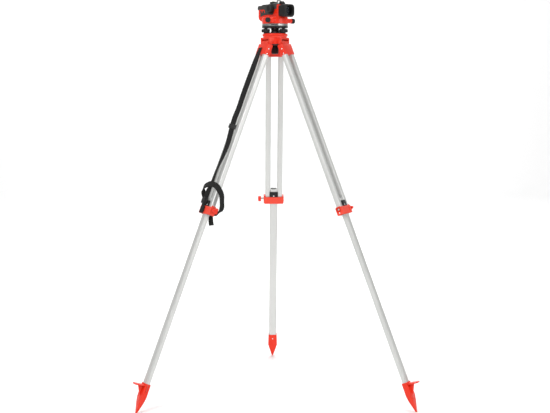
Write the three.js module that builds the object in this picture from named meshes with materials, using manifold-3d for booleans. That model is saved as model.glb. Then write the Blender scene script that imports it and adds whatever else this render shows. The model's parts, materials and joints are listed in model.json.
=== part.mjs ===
// Automatic level on its aluminium tripod, with the carrying strap of the tripod.
// Millimetres, +Z up. The tripod stands on z = 0 and its rear leg points along +Y.
// The origin is the bottom centre of the whole object's box.

import * as THREE from "three";
import { mergeVertices } from "three/addons/utils/BufferGeometryUtils.js";
import Module from "manifold-3d";

// Driving dimensions.
const GAP = 0.3;               // air left between two pieces that touch
const HEAD_HEIGHT = 1600;      // ground to the flat top of the tripod head
const TIP_RADIUS = 684;        // tripod axis to the tip of each spike
const HINGE_RADIUS = 42;       // tripod axis to each leg's hinge pin
const HINGE_DROP = 40;         // top of the head down to the hinge pins
const LEG_WIDTH = 80;          // over the two upper tubes of a leg
const TUBE_WIDTH = 24.5;       // one upper tube, across the leg
const TUBE_DEPTH = 22;         // one upper tube, front to back
const LOWER_WIDTH = 37;        // lower leg, over the tongues that run in the tubes
const LOWER_DEPTH = 20;        // lower leg, front to back
const CLAMP_DISTANCE = 779;    // hinge pin to the middle of the clamp, along the leg
const CLAMP_WIDTH = 95;
const CLAMP_HEIGHT = 35;
const CLAMP_DEPTH = 31;
const FOOT_LENGTH = 132;       // spike tip to the top of the foot's collar
const FLANGE_RADIUS = 55;      // round top of the tripod head
const DRUM_RADIUS = 56.5;      // turning housing of the level
const TELESCOPE_WIDTH = 54;
const TELESCOPE_HEIGHT = 96;   // head top to the line of sight
const SIGHT_AZIMUTH = -52;     // where the telescope points, from +X

// Values worked out from them.
const HINGE_HEIGHT = HEAD_HEIGHT - HINGE_DROP;
const SPREAD = Math.atan2(TIP_RADIUS - HINGE_RADIUS, HINGE_HEIGHT);
const LEG_LENGTH = Math.hypot(TIP_RADIUS - HINGE_RADIUS, HINGE_HEIGHT);
const TUBE_INNER = LEG_WIDTH / 2 - TUBE_WIDTH;

// Finishes.
function finish(color, roughness, metalness) {
  return new THREE.MeshStandardMaterial({ color, roughness, metalness });
}
const redPaint = finish(0xd93a26, 0.4, 0.1);
const satinAluminium = finish(0xd7d9d4, 0.45, 0.6);
const zincSteel = finish(0xb9bcba, 0.35, 0.9);
const blackPlastic = finish(0x2b2b2a, 0.55, 0);
const greyPlastic = finish(0x474744, 0.6, 0);
const blackWebbing = finish(0x1d1d1c, 0.95, 0);
const silverRing = finish(0x8f9492, 0.4, 0.8);
const clearGlass = finish(0xcfdde0, 0.05, 0);

// Solids: joining and cutting.
const wasm = await Module();
wasm.setup();

function toSolid(geometry) {
  const bare = geometry.clone();
  bare.deleteAttribute("normal");
  bare.deleteAttribute("uv");
  const merged = mergeVertices(bare, 1e-4);
  const corners = merged.index.array;
  const triangles = [];
  for (let i = 0; i < corners.length; i += 3) {
    const [a, b, c] = [corners[i], corners[i + 1], corners[i + 2]];
    if (a !== b && b !== c && c !== a) triangles.push(a, b, c);
  }
  const vertProperties = new Float32Array(merged.attributes.position.array);
  const triVerts = new Uint32Array(triangles);
  return new wasm.Manifold(new wasm.Mesh({ numProp: 3, vertProperties, triVerts }));
}

function fromSolid(solid) {
  const mesh = solid.getMesh();
  const geometry = new THREE.BufferGeometry();
  geometry.setAttribute("position", new THREE.BufferAttribute(mesh.vertProperties, 3));
  geometry.setIndex(new THREE.BufferAttribute(mesh.triVerts, 1));
  return geometry;
}

function join(...shapes) {
  return fromSolid(shapes.map(toSolid).reduce((sum, next) => sum.add(next)));
}

function cut(shape, ...tools) {
  return fromSolid(tools.map(toSolid).reduce((rest, tool) => rest.subtract(tool), toSolid(shape)));
}

function common(shape, other) {
  return fromSolid(toSolid(shape).intersect(toSolid(other)));
}

// Basic shapes.
function block(x0, x1, y0, y1, z0, z1) {
  const box = new THREE.BoxGeometry(x1 - x0, y1 - y0, z1 - z0);
  return box.translate((x0 + x1) / 2, (y0 + y1) / 2, (z0 + z1) / 2);
}

// A closed outline from corner points.
function outline(points) {
  return new THREE.Shape(points.map(([x, y]) => new THREE.Vector2(x, y)));
}

function roundedRectangle(x0, x1, y0, y1, radius) {
  const shape = new THREE.Shape();
  shape.absarc(x1 - radius, y0 + radius, radius, -Math.PI / 2, 0);
  shape.absarc(x1 - radius, y1 - radius, radius, 0, Math.PI / 2);
  shape.absarc(x0 + radius, y1 - radius, radius, Math.PI / 2, Math.PI);
  shape.absarc(x0 + radius, y0 + radius, radius, Math.PI, 1.5 * Math.PI);
  return shape;
}

function circle(x, y, radius) {
  return new THREE.Shape().absarc(x, y, radius, 0, 2 * Math.PI);
}

// A round outline with a wavy, grippy edge.
function scalloped(radius, lobes, depth) {
  const steps = Math.max(24, lobes * 3);
  const points = [];
  for (let i = 0; i < steps; i += 1) {
    const angle = (2 * Math.PI * i) / steps;
    const reach = radius - (depth / 2) * (1 - Math.cos(lobes * angle));
    points.push([reach * Math.cos(angle), reach * Math.sin(angle)]);
  }
  return outline(points);
}

// Outline in X and Y, thickened from z0 to z1.
function slab(shape, z0, z1, curveSegments = 2) {
  const options = { depth: z1 - z0, bevelEnabled: false, curveSegments };
  return new THREE.ExtrudeGeometry(shape, options).translate(0, 0, z0);
}

// Outline in X and Z, thickened from y0 to y1.
function upright(shape, y0, y1, curveSegments = 2) {
  const options = { depth: y1 - y0, bevelEnabled: false, curveSegments };
  return new THREE.ExtrudeGeometry(shape, options).rotateX(Math.PI / 2).translate(0, y1, 0);
}

// Outline in Y and Z, thickened from x0 to x1.
function facing(shape, x0, x1, curveSegments = 2) {
  const options = { depth: x1 - x0, bevelEnabled: false, curveSegments };
  const raised = new THREE.ExtrudeGeometry(shape, options).rotateX(Math.PI / 2).rotateZ(Math.PI / 2);
  return raised.translate(x0, 0, 0);
}

// A profile of [radius, height] points turned about Z, closed on itself or on the axis.
function turned(profile, segments = 32) {
  const points = profile.map(([radius, height]) => new THREE.Vector2(radius, height));
  if (THREE.ShapeUtils.area(points) < 0) points.reverse();
  if (points[0].x > 0) points.push(points[0].clone());
  return new THREE.LatheGeometry(points, segments).rotateX(Math.PI / 2);
}

function rod(radius, z0, z1, segments = 12) {
  return slab(circle(0, 0, radius), z0, z1, segments / 2);
}

function alongX(geometry) {
  return geometry.rotateY(Math.PI / 2);
}

function alongY(geometry) {
  return geometry.rotateX(-Math.PI / 2);
}

function piece(name, geometry, material) {
  const mesh = new THREE.Mesh(geometry, material);
  mesh.name = name;
  return mesh;
}

// Tripod head, with z = 0 at its flat top.
function legSlot(azimuth) {
  const slot = block(29, 90, -30, 30, -80, -26);
  return slot.rotateZ(azimuth);
}

function headLug(azimuth) {
  const bridge = block(24, 50, -38, 38, -26, -17);
  const lugs = [-38, 30].map((side) => {
    const arm = upright(outline([[28, -17], [28, -34], [33, -40], [51, -40], [51, -17]]), side, side + 8);
    const eye = upright(circle(HINGE_RADIUS, -HINGE_DROP, 9), side, side + 8, 8);
    return join(arm, eye);
  });
  const bore = alongY(rod(4.3, -60, 60)).translate(HINGE_RADIUS, 0, -HINGE_DROP);
  return cut(join(bridge, ...lugs), bore).rotateZ(azimuth);
}

function tripodHead(azimuths) {
  const rim = [[20, -12], [52.5, -12], [FLANGE_RADIUS, -8.5], [FLANGE_RADIUS, -3], [52.5, 0], [20, 0]];
  const flange = turned(rim, 36);
  const neck = turned([[20, -18], [51.5, -18], [51.5, -11.5], [20, -11.5]], 36);
  const hub = turned([[20, -23], [40, -23], [40, -46], [47, -46], [47, -17], [20, -17]], 36);
  const openHub = cut(hub, ...azimuths.map(legSlot));
  return join(flange, neck, openHub, ...azimuths.map(headLug), armPost());
}

// The post that carries the arm of the fixing screw.
const ARM_AZIMUTH = Math.PI / 6;
const ARM_REACH = 31;

function armPost() {
  return rod(4.5, -43.7, -22.5).translate(ARM_REACH, 0, 0).rotateZ(ARM_AZIMUTH);
}

function retainingArm() {
  const bar = slab(roundedRectangle(-11, ARM_REACH + 6, -6, 6, 5.9), -48, -44);
  const ring = rod(13.5, -48, -44, 16);
  const hole = rod(8.7, -60, -30, 16);
  return cut(join(bar, ring), hole).rotateZ(ARM_AZIMUTH);
}

function fixingScrew() {
  const shank = [[0, -60], [7.95, -60], [7.95, -27.2], [19, -27.2], [19, -23.3], [7.95, -23.3]];
  return turned([...shank, [7.95, 8.5], [0, 8.5]], 16);
}

function fixingKnob() {
  const grip = slab(scalloped(15.5, 10, 1.6), -86, -51);
  const skirt = rod(12.5, -88, -85.5, 16);
  const bore = rod(8.3, -60.3, -45, 16);
  return cut(join(grip, skirt), bore);
}

// One leg: origin on the hinge pin, +Z up along the leg, +X outwards, +Y across it.
const SHOULDER = -10;
const BRACKET_END = -58.5;

function tubeOutline(side, grow = 0) {
  const inner = TUBE_INNER - grow;
  const outer = LEG_WIDTH / 2 + grow;
  const depth = TUBE_DEPTH / 2 + grow;
  const [low, high] = side > 0 ? [inner, outer] : [-outer, -inner];
  return roundedRectangle(-depth, depth, low, high, 6);
}

function upperTube(side) {
  const shape = tubeOutline(side);
  const [near, far] = [TUBE_INNER + 5, LEG_WIDTH / 2 - 1.8];
  const [low, high] = side > 0 ? [near, far] : [-far, -near];
  shape.holes.push(roundedRectangle(-9.2, 9.2, low, high, 4));
  const end = 2 - CLAMP_DISTANCE - CLAMP_HEIGHT / 2;
  const tube = slab(shape, end, BRACKET_END + 40.5);
  const reach = LOWER_WIDTH / 2 + 0.4;
  return cut(tube, block(-6.6, 6.6, -reach, reach, end - 10, 0));
}

function legBracket() {
  const barrel = alongY(rod(10, -29.6, 29.6, 20));
  const neck = block(-9, 9, -29.6, 29.6, -14, 0);
  const body = slab(roundedRectangle(-13.4, 13.4, -42.5, 42.5, 5), BRACKET_END, SHOULDER);
  const sockets = [-1, 1].map((side) => slab(tubeOutline(side, GAP), BRACKET_END - 5, BRACKET_END + 40.8));
  const bore = alongY(rod(4.3, -60, 60));
  return cut(join(barrel, neck, body), ...sockets, bore);
}

function hingePin() {
  const half = [[0, -41], [6.5, -41], [6.5, -38.3], [4, -38.3], [4, 38.3], [6.5, 38.3], [6.5, 41], [0, 41]];
  return alongY(turned(half, 12));
}

function clampBody() {
  const top = CLAMP_HEIGHT / 2;
  const half = CLAMP_WIDTH / 2;
  const deep = CLAMP_DEPTH / 2;
  const bar = slab(roundedRectangle(-deep, deep, -half, half, 5), -top, top);
  const ring = common(bar, facing(roundedRectangle(-half, half, -top, top + 20, 8), -30, 30));
  const screwEar = facing(roundedRectangle(39, half, top - 20, top + 6, 4), -9, 9);
  const rivetEar = facing(roundedRectangle(-half, -39, top - 20, top + 3, 4), -9, 9);
  const opening = slab(roundedRectangle(-11.4, 11.4, -40.4, 40.4, 6), -top - 5, top + 20);
  const recess = block(deep - 1.5, deep + 5, -31, 31, -10, 10);
  const screwBore = alongY(rod(4.3, 30, 60)).translate(0, 0, 5);
  return cut(join(ring, screwEar, rivetEar), opening, recess, screwBore);
}

function clampScrew() {
  return alongY(rod(4, 40.8, 66)).translate(0, 0, 5);
}

function clampKnob() {
  const disc = slab(scalloped(14.5, 3, 5.5), 60, 74);
  const bore = rod(4.3, 50, 66.3);
  return alongY(cut(disc, bore)).translate(0, 0, 5);
}

const LOWER_TOP = CLAMP_HEIGHT / 2 + 38.5;     // above the middle of the clamp
const WINDOW = { low: 24, high: 34, half: 6 }; // where the guide passes through the lower leg

const GUIDE_LOW = CLAMP_HEIGHT / 2 + 0.4;

function sliderGuide() {
  const plates = [-1, 1].map((side) => {
    const shape = roundedRectangle(-19.5, 19.5, GUIDE_LOW, 43, 2);
    return side > 0 ? facing(shape, 11.3, 14.3, 1) : facing(shape, -14.3, -11.3, 1);
  });
  const pads = [-1, 1].map((side) => {
    return side > 0
      ? block(10.3, 11.4, -14.5, 14.5, GUIDE_LOW, 43)
      : block(-11.4, -10.3, -14.5, 14.5, GUIDE_LOW, 43);
  });
  const bridge = block(-11, 11, -WINDOW.half, WINDOW.half, WINDOW.low, WINDOW.high);
  return join(...plates, ...pads, bridge);
}

function lowerLeg() {
  const deep = LOWER_DEPTH / 2;
  const wide = TUBE_INNER - GAP;
  const tongue = LOWER_WIDTH / 2;
  const quarter = [[deep, wide - 1.5], [deep - 1.5, wide], [6.2, wide], [6.2, tongue]];
  const corners = [
    ...quarter,
    ...quarter.map(([x, y]) => [-x, y]).reverse(),
    ...quarter.map(([x, y]) => [-x, -y]),
    ...quarter.map(([x, y]) => [x, -y]).reverse(),
  ];
  const shape = outline(corners);
  shape.holes.push(roundedRectangle(1.6 - deep, deep - 1.6, 1.6 - wide, wide - 1.6, 1));
  const bottom = FOOT_LENGTH - 44 - LEG_LENGTH + CLAMP_DISTANCE;
  const bar = slab(shape, bottom, LOWER_TOP);
  const side = WINDOW.half + GAP;
  return cut(bar, block(-20, 20, -side, side, WINDOW.low - GAP, WINDOW.high + GAP));
}

// The foot, with z = 0 at the tip of its spike.
function foot() {
  const collar = FOOT_LENGTH;
  const front = outline([[-2.5, -3], [2.5, -3], [22.5, 72], [20.8, collar], [-20.8, collar], [-22.5, 72]]);
  const edge = [[2.5, -3], [10.5, 50], [12, 80], [12, collar]];
  const side = outline([...edge, ...edge.map(([x, z]) => [-x, z]).reverse()]);
  const spike = common(facing(front, -30, 30), upright(side, -30, 30));
  const treadOutline = roundedRectangle(6, 58, -17, 17, 9);
  const treadLift = 0.1;
  const tread = slab(treadOutline, -5.5, 0).rotateY(treadLift).translate(0, 0, collar - 5);
  const gusset = upright(outline([[8, collar - 12], [36, collar - 12], [8, 66]]), -3.5, 3.5);
  const socket = block(-LOWER_DEPTH / 2 - GAP, LOWER_DEPTH / 2 + GAP, -18.8, 18.8, collar - 44.3, collar + 5);
  const slit = block(-1.2, 1.2, 15, 30, collar - 38, collar + 5);
  const ground = block(-60, 60, -60, 60, -60, 0).rotateY(SPREAD);
  return cut(join(spike, tread, gusset), socket, slit, ground);
}

// Levelling base, with z = 0 on the head: plate, foot screws and the disc that they carry.
const SCREW_CIRCLE = 45;
const SCREW_AZIMUTHS = [85, 205, 325];

function radians(degrees) {
  return (degrees * Math.PI) / 180;
}

function basePlate() {
  const arms = SCREW_AZIMUTHS.map((azimuth) => {
    const arm = slab(roundedRectangle(-16, SCREW_CIRCLE + 9, -13, 13, 12.9), GAP, 4);
    return arm.rotateZ(radians(azimuth));
  });
  const hub = rod(19, GAP, 10, 20);
  return cut(join(hub, ...arms), rod(8.3, -5, 20, 16));
}

function footScrew() {
  const knob = slab(scalloped(18.5, 12, 1.8), 4.8, 18.5);
  const stem = rod(6.5, 18.4, 21.2);
  const thread = rod(4, 21, 29);
  return join(knob, stem, thread);
}

function tribrach() {
  const disc = turned([[10.3, 24], [55, 24], [57.5, 26], [57.5, 31.5], [10.3, 31.5]], 36);
  const boss = turned([[10.3, 13], [17, 13], [19, 24.5], [10.3, 24.5]], 36);
  const places = SCREW_AZIMUTHS.map(radians);
  const cups = places.map((azimuth) => rod(8, 21.5, 24.5).translate(SCREW_CIRCLE, 0, 0).rotateZ(azimuth));
  const bores = places.map((azimuth) => rod(4.3, 15, 29.3).translate(SCREW_CIRCLE, 0, 0).rotateZ(azimuth));
  return cut(join(disc, boss, ...cups), ...bores);
}

function horizontalCircle() {
  const profile = [[30, 31.8], [56.2, 31.8], [56.2, 40.6], [55.2, 41.6], [30, 41.6]];
  return turned(profile, 36);
}

// Level: +X towards the staff along the telescope, +Y to its left, z = 0 on the head.
const HALF_WIDTH = TELESCOPE_WIDTH / 2;
const SKIN = HALF_WIDTH - 1.8;  // half width of the housing under the cover
const HOUSING_REAR = -86;
const COVER_FRONT = 43.6;
const HOOD_START = 55;
const HOOD_END = 102;
const BORE_RADIUS = 16;
const FOCUS = { along: 12, height: 106 };
const TANGENT = { along: 33, height: 55.6 };

function housingSide() {
  const shape = new THREE.Shape();
  shape.moveTo(COVER_FRONT + 0.4, 60);
  shape.lineTo(COVER_FRONT + 0.4, 124);
  shape.lineTo(-54, 124);
  shape.lineTo(-58, 120.5);
  shape.lineTo(-77, 120.5);
  shape.quadraticCurveTo(HOUSING_REAR, 120.5, HOUSING_REAR, 111);
  shape.lineTo(HOUSING_REAR, 76);
  shape.quadraticCurveTo(HOUSING_REAR, 66, -76, 60);
  shape.lineTo(-52, 50);
  shape.lineTo(0, 50);
  return shape;
}

function mainBody() {
  const housing = upright(housingSide(), -SKIN, SKIN);
  const rim = roundedRectangle(-HALF_WIDTH, HALF_WIDTH, 60, 122, 6);
  const flange = facing(rim, COVER_FRONT + 0.3, HOOD_START - 0.3);
  const drumProfile = [[0, 42], [55.5, 42], [DRUM_RADIUS, 43], [DRUM_RADIUS, 66], [50, 72], [0, 72]];
  const drum = turned(drumProfile, 40);
  const spindle = rod(10, 20, 43, 20);
  const bosses = alongY(rod(10.5, -59.7, 63.2, 16)).translate(TANGENT.along, 0, TANGENT.height);
  const shell = join(housing, flange, drum, spindle, bosses);
  const bore = alongX(rod(BORE_RADIUS, -74, 80, 24)).translate(0, 0, TELESCOPE_HEIGHT);
  const rearBore = alongX(rod(14, -120, -73, 24)).translate(0, 0, TELESCOPE_HEIGHT);
  const chamber = block(-34, 0, -18, 18, 76, 118);
  const focusBore = alongY(rod(4.4, -60, 0)).translate(FOCUS.along, 0, FOCUS.height);
  const axleBore = alongY(rod(2.4, -22, 22, 8)).translate(-17, 0, PENDULUM_PIVOT);
  const tangentBore = alongY(rod(4.4, -90, 90)).translate(TANGENT.along, 0, TANGENT.height);
  return cut(shell, bore, rearBore, chamber, axleBore, focusBore, tangentBore);
}

// The dark saddle over the telescope. On each side it runs down behind the focusing knob into a
// panel whose top edge is notched, so that the housing shows between the two.
function topCover() {
  const side = new THREE.Shape();
  side.moveTo(COVER_FRONT, 127);
  side.lineTo(-55, 127);
  side.lineTo(-59, 123.5);
  side.lineTo(-78, 123.5);
  side.quadraticCurveTo(-89, 123.5, -89, 112);
  side.lineTo(-89, 106);
  side.lineTo(-46, 106);
  side.quadraticCurveTo(-39, 106, -37, 92);
  const notches = [[-43, 92], [-47, 101.5], [-53, 101.5], [-57, 92.5], [-61, 92.5], [-64, 102.5]];
  notches.forEach(([x, z]) => side.lineTo(x, z));
  side.lineTo(-71.4, 102.5);
  side.lineTo(-69, 74.5);
  side.quadraticCurveTo(-50, 82, -18, 82.5);
  side.lineTo(16.7, 81);
  [[27.8, 99.2], [25, 101], [18, 100.8], [12, 91], [7, 92]].forEach(([x, z]) => side.lineTo(x, z));
  side.quadraticCurveTo(8, 104.3, 16, 104.3);
  side.lineTo(COVER_FRONT, 104.3);
  const saddle = upright(side, -HALF_WIDTH, HALF_WIDTH, 3);
  const core = upright(housingSide(), -SKIN - GAP, SKIN + GAP);
  const clearance = core.clone().translate(-0.4, 0, 0.3);
  const eyeHole = alongX(rod(14, -120, -80, 24)).translate(0, 0, TELESCOPE_HEIGHT);
  const focusHole = alongY(rod(7, -60, 0, 12)).translate(FOCUS.along, 0, FOCUS.height);
  return cut(saddle, core, clearance, eyeHole, focusHole);
}

// Rounded rectangles in Y and Z, stacked along X: [x, half width, lowest z, highest z, radius].
function loft(sections) {
  const rings = sections.map(([x, half, low, high, radius]) => {
    const around = roundedRectangle(-half, half, low, high, radius).getPoints(3).slice(0, -1);
    return around.map(({ x: y, y: z }) => [x, y, z]);
  });
  const count = rings[0].length;
  const indices = [];
  for (let ring = 0; ring + 1 < rings.length; ring += 1) {
    for (let i = 0; i < count; i += 1) {
      const [a, b] = [ring * count + i, ring * count + ((i + 1) % count)];
      indices.push(a, b, b + count, a, b + count, a + count);
    }
  }
  const last = (rings.length - 1) * count;
  for (let i = 1; i + 1 < count; i += 1) indices.push(0, i + 1, i, last, last + i, last + i + 1);
  const geometry = new THREE.BufferGeometry();
  geometry.setAttribute("position", new THREE.Float32BufferAttribute(rings.flat(2), 3));
  geometry.setIndex(indices);
  return geometry;
}

function objectiveHood() {
  const square = loft([
    [HOOD_START, 26, 71.5, 119.5, 9],
    [84, 28, 68.2, 123.2, 11],
    [97, 28, 68.2, 123.2, 13],
    [HOOD_END, 25, 71.5, 120, 14],
  ]);
  const recess = alongX(rod(20, 72, 120, 24)).translate(0, 0, TELESCOPE_HEIGHT);
  const throat = alongX(rod(BORE_RADIUS, 40, 80, 24)).translate(0, 0, TELESCOPE_HEIGHT);
  return cut(square, recess, throat);
}

// A round lens with bulging faces, along the line of sight.
function lens(radius, along, thickness, bulge) {
  const edge = thickness / 2;
  const face = [[radius, edge], [radius * 0.6, edge + bulge * 0.64]];
  const back = face.map(([r, z]) => [r, -z]).reverse();
  const profile = [[0, -edge - bulge], ...back, ...face, [0, edge + bulge]];
  return alongX(turned(profile, 16)).translate(along, 0, TELESCOPE_HEIGHT);
}

function eyepiece() {
  const profile = [[7, -75], [13.6, -75], [13.6, -89.5], [13, -90], [13, -100], [11.5, -101.5], [7, -101.5]];
  return alongX(turned(profile, 20)).translate(0, 0, TELESCOPE_HEIGHT);
}

function focusKnob() {
  const grip = slab(scalloped(19, 16, 1.2), -45.5, -28.6);
  const cap = rod(16.5, -47, -45.3, 16);
  const shaft = rod(4, -28.7, -17.5);
  return alongY(join(grip, cap, shaft)).translate(FOCUS.along, 0, FOCUS.height);
}

function focusingCell() {
  const ring = turned([[11, -6], [15.6, -6], [15.6, 6], [11, 6]], 20);
  return alongX(ring).translate(36, 0, TELESCOPE_HEIGHT);
}

// Pendulum prism of the compensator, hung below its pivot in the chamber.
const PENDULUM_PIVOT = 114;

function compensator() {
  const arm = upright(outline([[-19, 88], [-15, 88], [-15, 113], [-19, 113]]), -3, 3);
  const axle = alongY(rod(2, -21, 21, 8)).translate(-17, 0, PENDULUM_PIVOT);
  const prism = upright(outline([[-27, 84], [-7, 84], [-10, 94], [-24, 94]]), -11, 11);
  return join(arm, axle, prism);
}

function tangentScrew() {
  const shaft = rod(4, -66, 64.7);
  const knob = slab(scalloped(11, 12, 1), 63.5, 79);
  const cap = rod(8.5, 78.8, 80.3);
  return alongY(join(shaft, knob, cap)).translate(TANGENT.along, 0, TANGENT.height);
}

function tangentKnob() {
  const knob = slab(scalloped(11, 12, 1), -73, -60);
  const cap = rod(8.5, -74.3, -72.8);
  const bore = rod(4.3, -66.3, -50);
  return alongY(cut(join(knob, cap), bore)).translate(TANGENT.along, 0, TANGENT.height);
}

const BUBBLE_ALONG = -10;
const MIRROR = { along: 27, height: 141.5, length: 22 };

function bubbleHousing() {
  const cup = rod(16.5, 127.3, 137.5, 20).translate(BUBBLE_ALONG, 0, 0);
  const base = slab(roundedRectangle(-31, 35, -12, 12, 4), 127.3, 130.5);
  const forks = [-10, 7].map((side) => {
    const fork = outline([[22, 130], [32, 130], [30, 144], [24, 144]]);
    return upright(fork, side, side + 3);
  });
  const well = rod(11.3, 131.2, 150, 20).translate(BUBBLE_ALONG, 0, 0);
  const bore = alongY(rod(1.4, -20, 20, 8)).translate(MIRROR.along, 0, MIRROR.height);
  return cut(join(cup, base, ...forks), well, bore);
}

function bubbleVial() {
  const profile = [[0, 131.5], [11, 131.5], [11, 137.5], [8, 139.6], [4, 141], [0, 141.3]];
  return turned(profile, 20).translate(BUBBLE_ALONG, 0, 0);
}

function bubbleMirror() {
  const plate = block(-1.3, 1.3, -6.5, 6.5, 0, MIRROR.length);
  const pin = alongY(rod(1.2, -9, 9, 8));
  const eye = alongY(rod(2.6, -6.5, 6.5, 8));
  return join(plate, pin, eye).translate(MIRROR.along, 0, MIRROR.height);
}

// Open sight on top of the telescope: a wedge with a notch along it.
function openSight() {
  const foot = [[36.5, 127.3], [44.3, 127.3], [44.3, 122.4], [56, 122.4], [62.5, 125.5]];
  const side = [...foot, [61, 130], [52, 138], [40, 138], [36.5, 133]];
  const wedge = upright(outline(side), -7, 7);
  return cut(wedge, block(30, 80, -1.5, 1.5, 133, 150));
}

// Carrying strap and closing strap: webbing on the left leg, in that leg's own frame.
const STRAP_WIDTH = 25;
const STRAP_THICK = 2.4;

// A flat band through [x, y, z, a, b, c] stations, where (a, b, c) points across the band.
function band(stations, steps, closed = false) {
  const spline = (first) => {
    const points = stations.map((station) => new THREE.Vector3(...station.slice(first, first + 3)));
    return new THREE.CatmullRomCurve3(points, closed, "catmullrom", 0.5);
  };
  const line = spline(0);
  const across = spline(3);
  const corners = [];
  const indices = [];
  const sections = closed ? steps : steps + 1;
  for (let i = 0; i < sections; i += 1) {
    const place = line.getPoint(i / steps);
    const heading = line.getTangent(i / steps);
    const wide = across.getPoint(i / steps);
    wide.addScaledVector(heading, -wide.dot(heading)).setLength(STRAP_WIDTH / 2);
    const thick = heading.clone().cross(wide).setLength(STRAP_THICK / 2);
    [[1, 1], [-1, 1], [-1, -1], [1, -1]].forEach(([u, v]) => {
      corners.push(...place.clone().addScaledVector(wide, u).addScaledVector(thick, v).toArray());
    });
    if (closed || i < steps) {
      for (let k = 0; k < 4; k += 1) {
        const [a, b] = [4 * i + k, 4 * i + ((k + 1) % 4)];
        const [c, d] = [4 * ((i + 1) % sections) + ((k + 1) % 4), 4 * ((i + 1) % sections) + k];
        indices.push(a, b, c, a, c, d);
      }
    }
  }
  const end = 4 * steps;
  if (!closed) indices.push(0, 2, 1, 0, 3, 2, end, end + 1, end + 2, end, end + 2, end + 3);
  const geometry = new THREE.BufferGeometry();
  geometry.setAttribute("position", new THREE.Float32BufferAttribute(corners, 3));
  geometry.setIndex(indices);
  return geometry;
}

function shoulderStrap() {
  const route = [
    [15.9, -10, -30, 0], [18.5, -8, -62, 10], [24, 3, -100, 28], [27, 8, -152, 37], [27, 6, -216, 37],
    [27, 6, -262, 35], [27, 8, -314, 33], [27, 4, -368, 35], [26, 12, -432, 33], [24, 16, -482, 22],
    [22, 8, -540, 8], [21, -6, -600, -8], [20, -10, -659, 0], [21, -13, -688, 15], [22, -14, -717, 25],
    [21, -17, -748, 10], [18.4, -18, -770, 0], [18.2, -18, -796, 0],
  ];
  const stations = route.map(([x, y, z, twist]) => {
    return [x, y, z, -Math.sin(radians(twist)), Math.cos(radians(twist)), 0];
  });
  return band(stations, 64);
}

// A buckle: a flat frame around the webbing.
function strapBuckle(x, y, z, twist) {
  const around = roundedRectangle(-6.4, 6.4, -17.5, 17.5, 3);
  around.holes.push(roundedRectangle(-3.4, 3.4, -14.2, 14.2, 1));
  return slab(around, -10, 10).rotateZ(radians(twist)).translate(x, y, z);
}

// The closing strap: a loose loop around the leg just above its clamp.
function tieStrap() {
  const route = [
    [30, -50, -689, 0, 0, 1], [33, -5, -669, 0, 0, 1], [25, 34, -668, 0, 0.2, 1],
    [13.4, 55, -680, -0.5, 0.1, 0.85],
    [-3, 67, -701, -0.85, 0, 0.4], [-14, 70, -727, -0.95, -0.2, 0], [-25, 67, -752, -0.95, -0.2, 0.1],
    [-28, 55, -774, -0.6, -0.2, 0.7], [-20, 30, -781, 0, 0, 1], [-18.2, 0, -778, 0, 0, 1],
    [-20, -34, -760, 0, 0, 1], [-6, -60, -728, 0, 0, 1], [14, -64, -706, 0, 0, 1],
  ];
  return band(route, 78, true);
}

// The loose end of the closing strap, hanging below the clamp.
function strapTail() {
  const route = [
    [-22, 5, -786, 0, 1, 0], [-22, 8, -800, 0, 1, 0], [-25, 12, -815, 0, 1, 0], [-34, 15, -834, 0, 1, 0],
  ];
  return band(route, 16);
}

// Assembly.
const LEGS = [
  { name: "left", azimuth: 210 },
  { name: "right", azimuth: 330 },
  { name: "rear", azimuth: 90 },
];

function legAssembly({ name, azimuth }) {
  const leg = new THREE.Group();
  leg.position.set(HINGE_RADIUS, 0, HINGE_HEIGHT);
  leg.rotation.y = -SPREAD;
  leg.add(piece(`leg_bracket_${name}`, legBracket(), redPaint));
  leg.add(piece(`hinge_pin_${name}`, hingePin(), zincSteel));
  leg.add(piece(`upper_tube_a_${name}`, upperTube(-1), satinAluminium));
  leg.add(piece(`upper_tube_b_${name}`, upperTube(1), satinAluminium));
  const clamp = new THREE.Group();
  clamp.position.z = -CLAMP_DISTANCE;
  clamp.add(piece(`clamp_body_${name}`, clampBody(), redPaint));
  clamp.add(piece(`clamp_screw_${name}`, clampScrew(), zincSteel));
  clamp.add(piece(`clamp_knob_${name}`, clampKnob(), redPaint));
  clamp.add(piece(`slider_guide_${name}`, sliderGuide(), blackPlastic));
  clamp.add(piece(`lower_leg_${name}`, lowerLeg(), satinAluminium));
  leg.add(clamp);
  const shoe = piece(`foot_${name}`, foot(), redPaint);
  shoe.position.z = -LEG_LENGTH;
  leg.add(shoe);
  if (name === "left") leg.add(strapAssembly());
  const turnedLeg = new THREE.Group();
  turnedLeg.rotation.z = radians(azimuth);
  turnedLeg.add(leg);
  return turnedLeg;
}

function strapAssembly() {
  const strap = new THREE.Group();
  strap.add(piece("shoulder_strap", shoulderStrap(), blackWebbing));
  strap.add(piece("strap_buckle", strapBuckle(26.7, 7.8, -401, 34), blackPlastic));
  strap.add(piece("tie_strap", tieStrap(), blackWebbing));
  strap.add(piece("strap_tail", strapTail(), blackWebbing));
  return strap;
}

function headAssembly() {
  const head = new THREE.Group();
  head.position.z = HEAD_HEIGHT;
  head.add(piece("tripod_head", tripodHead(LEGS.map(({ azimuth }) => radians(azimuth))), redPaint));
  head.add(piece("retaining_arm", retainingArm(), blackPlastic));
  head.add(piece("fixing_screw", fixingScrew(), zincSteel));
  head.add(piece("fixing_knob", fixingKnob(), blackPlastic));
  return head;
}

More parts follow.
